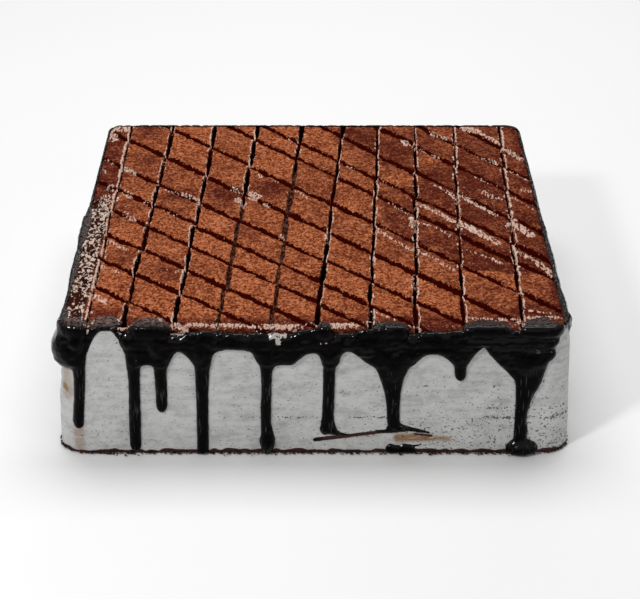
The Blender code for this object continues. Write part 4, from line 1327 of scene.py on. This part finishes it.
# The lamps, in metres and watts: name, place, width and depth, power.
LAMPS = (
    ("overhead", (0.0, 0.40, 1.2), (1.2, 0.7), 10.5),
    ("back_strip", (0.1, 1.1, 0.75), (0.9, 0.05), 1.4),
    ("key", (-0.45, -0.55, 0.62), (0.12, 0.12), 2.6),
    ("right_strip", (0.75, -0.80, 0.50), (0.02, 0.5), 0.8),
)
LAMP_AIM = Vector((0, 0, 0.03))
WORLD_STRENGTH = 0.22
SENSOR_WIDTH = 36.0
LENS_SHIFT = 0.0094  # as a share of the sensor, to the right
FLOOR_REACH = 6.0
FLOOR_Z = -0.0002


def area_light(name, place, size, power):
    """A rectangular lamp that faces the cake."""
    light = bpy.data.lights.new(name, "AREA")
    light.shape = "RECTANGLE"
    light.size, light.size_y = size
    light.energy = power
    lamp = add_object(name, light)
    lamp.location = place
    lamp.rotation_euler = (LAMP_AIM - Vector(place)).to_track_quat("-Z", "Y").to_euler()


def make_floor():
    """A pale plane under the cake."""
    mesh = bpy.data.meshes.new("floor")
    corners = [(x * FLOOR_REACH, y * FLOOR_REACH, 0) for x, y in ((-1, -1), (1, -1), (1, 1), (-1, 1))]
    mesh.from_pydata(corners, [], [(0, 1, 2, 3)])
    floor = add_object("floor", mesh)
    floor.location.z = FLOOR_Z
    paint = Finish("floor_paint", Roughness=0.7)
    paint.shader.inputs["Base Color"].default_value = (0.98, 0.98, 0.98, 1)
    mesh.materials.append(paint.material)


def make_stage(settings):
    """A pale floor, an even pale world, lamps above, behind, at the left and at the right, and the camera."""
    scene = bpy.context.scene
    scene.view_settings.view_transform = "Standard"
    make_floor()
    world = bpy.data.worlds.new("studio")
    scene.world = world
    world.use_nodes = True
    background = world.node_tree.nodes["Background"].inputs
    background["Color"].default_value = (1, 1, 1, 1)
    background["Strength"].default_value = WORLD_STRENGTH * settings.brightness
    for name, place, size, power in LAMPS:
        area_light(name, place, size, power * settings.brightness)
    camera = add_object("camera", bpy.data.cameras.new("camera"))
    camera.location = (0, -settings.distance, settings.height)
    camera.rotation_euler = (math.pi / 2 - settings.tilt, 0, 0)
    camera.data.sensor_width = SENSOR_WIDTH
    camera.data.lens = settings.lens
    camera.data.shift_x = LENS_SHIFT
    camera.data.clip_start = 0.01
    scene.camera = camera


# ---- operators


class CAKE_OT_cream_coat(bpy.types.Operator):
    """Coat the cake's sides with pale frosting"""

    bl_idname = "cake.cream_coat"
    bl_label = "Cream coat"

    def execute(self, context):
        make_cream_coat(cream_finish(context.scene.cake_colours))
        return {"FINISHED"}


class CAKE_OT_cocoa_top(bpy.types.Operator):
    """Dust the top with cocoa and score it into slanted tiles"""

    bl_idname = "cake.cocoa_top"
    bl_label = "Cocoa top"

    def execute(self, context):
        make_cocoa(cocoa_finish(context.scene.cake_colours), context.scene.cake_sizes)
        return {"FINISHED"}


class CAKE_OT_ganache(bpy.types.Operator):
    """Pour the ganache rim and its drips"""

    bl_idname = "cake.ganache"
    bl_label = "Ganache"

    def execute(self, context):
        material = ganache_finish(context.scene.cake_colours)
        thickness = context.scene.cake_sizes.rim_thickness / MM
        stretches = (
            ("ganache_front", -FRONT_HALF_SPAN, FRONT_HALF_SPAN, GANACHE_STEP_FRONT),
            ("ganache_sides", FRONT_HALF_SPAN, PERIMETER - FRONT_HALF_SPAN, GANACHE_STEP),
        )
        for name, start, stop, step in stretches:
            ganache_piece(name, start, stop, step, material, thickness)
        return {"FINISHED"}


class CAKE_OT_loose_bits(bpy.types.Operator):
    """Scatter torn cream flecks on top and crumbs round the foot"""

    bl_idname = "cake.loose_bits"
    bl_label = "Flecks and crumbs"

    def execute(self, context):
        thickness = context.scene.cake_sizes.rim_thickness / MM
        make_flecks(fleck_finish(context.scene.cake_colours), thickness)
        make_base_crumbs(crumb_finish())
        return {"FINISHED"}


class CAKE_OT_stage(bpy.types.Operator):
    """Set up the floor, the lights and the camera"""

    bl_idname = "cake.stage"
    bl_label = "Stage"

    def execute(self, context):
        make_stage(context.scene.cake_stage)
        return {"FINISHED"}


OPERATORS = (CAKE_OT_cream_coat, CAKE_OT_cocoa_top, CAKE_OT_ganache, CAKE_OT_loose_bits, CAKE_OT_stage)


class CAKE_PT_pieces(bpy.types.Panel):
    """Lists the cake's pieces in the order they are made"""

    bl_label = "Tiramisu cake"
    bl_idname = "CAKE_PT_pieces"
    bl_space_type = "VIEW_3D"
    bl_region_type = "UI"
    bl_category = "Cake"

    def draw(self, context):
        for operator in OPERATORS:
            self.layout.operator(operator.bl_idname)
        for group in (context.scene.cake_sizes, context.scene.cake_colours, context.scene.cake_stage):
            box = self.layout.box()
            for key in group.__annotations__:
                box.prop(group, key)


GROUPS = {"cake_colours": CakeColours, "cake_sizes": CakeSizes, "cake_stage": StageSettings}


def register():
    for group in GROUPS.values():
        bpy.utils.register_class(group)
    for key, group in GROUPS.items():
        setattr(bpy.types.Scene, key, bpy.props.PointerProperty(type=group))
    for kind in (*OPERATORS, CAKE_PT_pieces):
        bpy.utils.register_class(kind)


def unregister():
    for kind in (CAKE_PT_pieces, *reversed(OPERATORS)):
        bpy.utils.unregister_class(kind)
    for key, group in GROUPS.items():
        delattr(bpy.types.Scene, key)
        bpy.utils.unregister_class(group)


def main():
    register()
    bpy.ops.cake.stage()
    bpy.ops.cake.cream_coat()
    bpy.ops.cake.cocoa_top()
    bpy.ops.cake.ganache()
    bpy.ops.cake.loose_bits()
    bpy.context.view_layer.update()


if __name__ == "__main__":
    main()
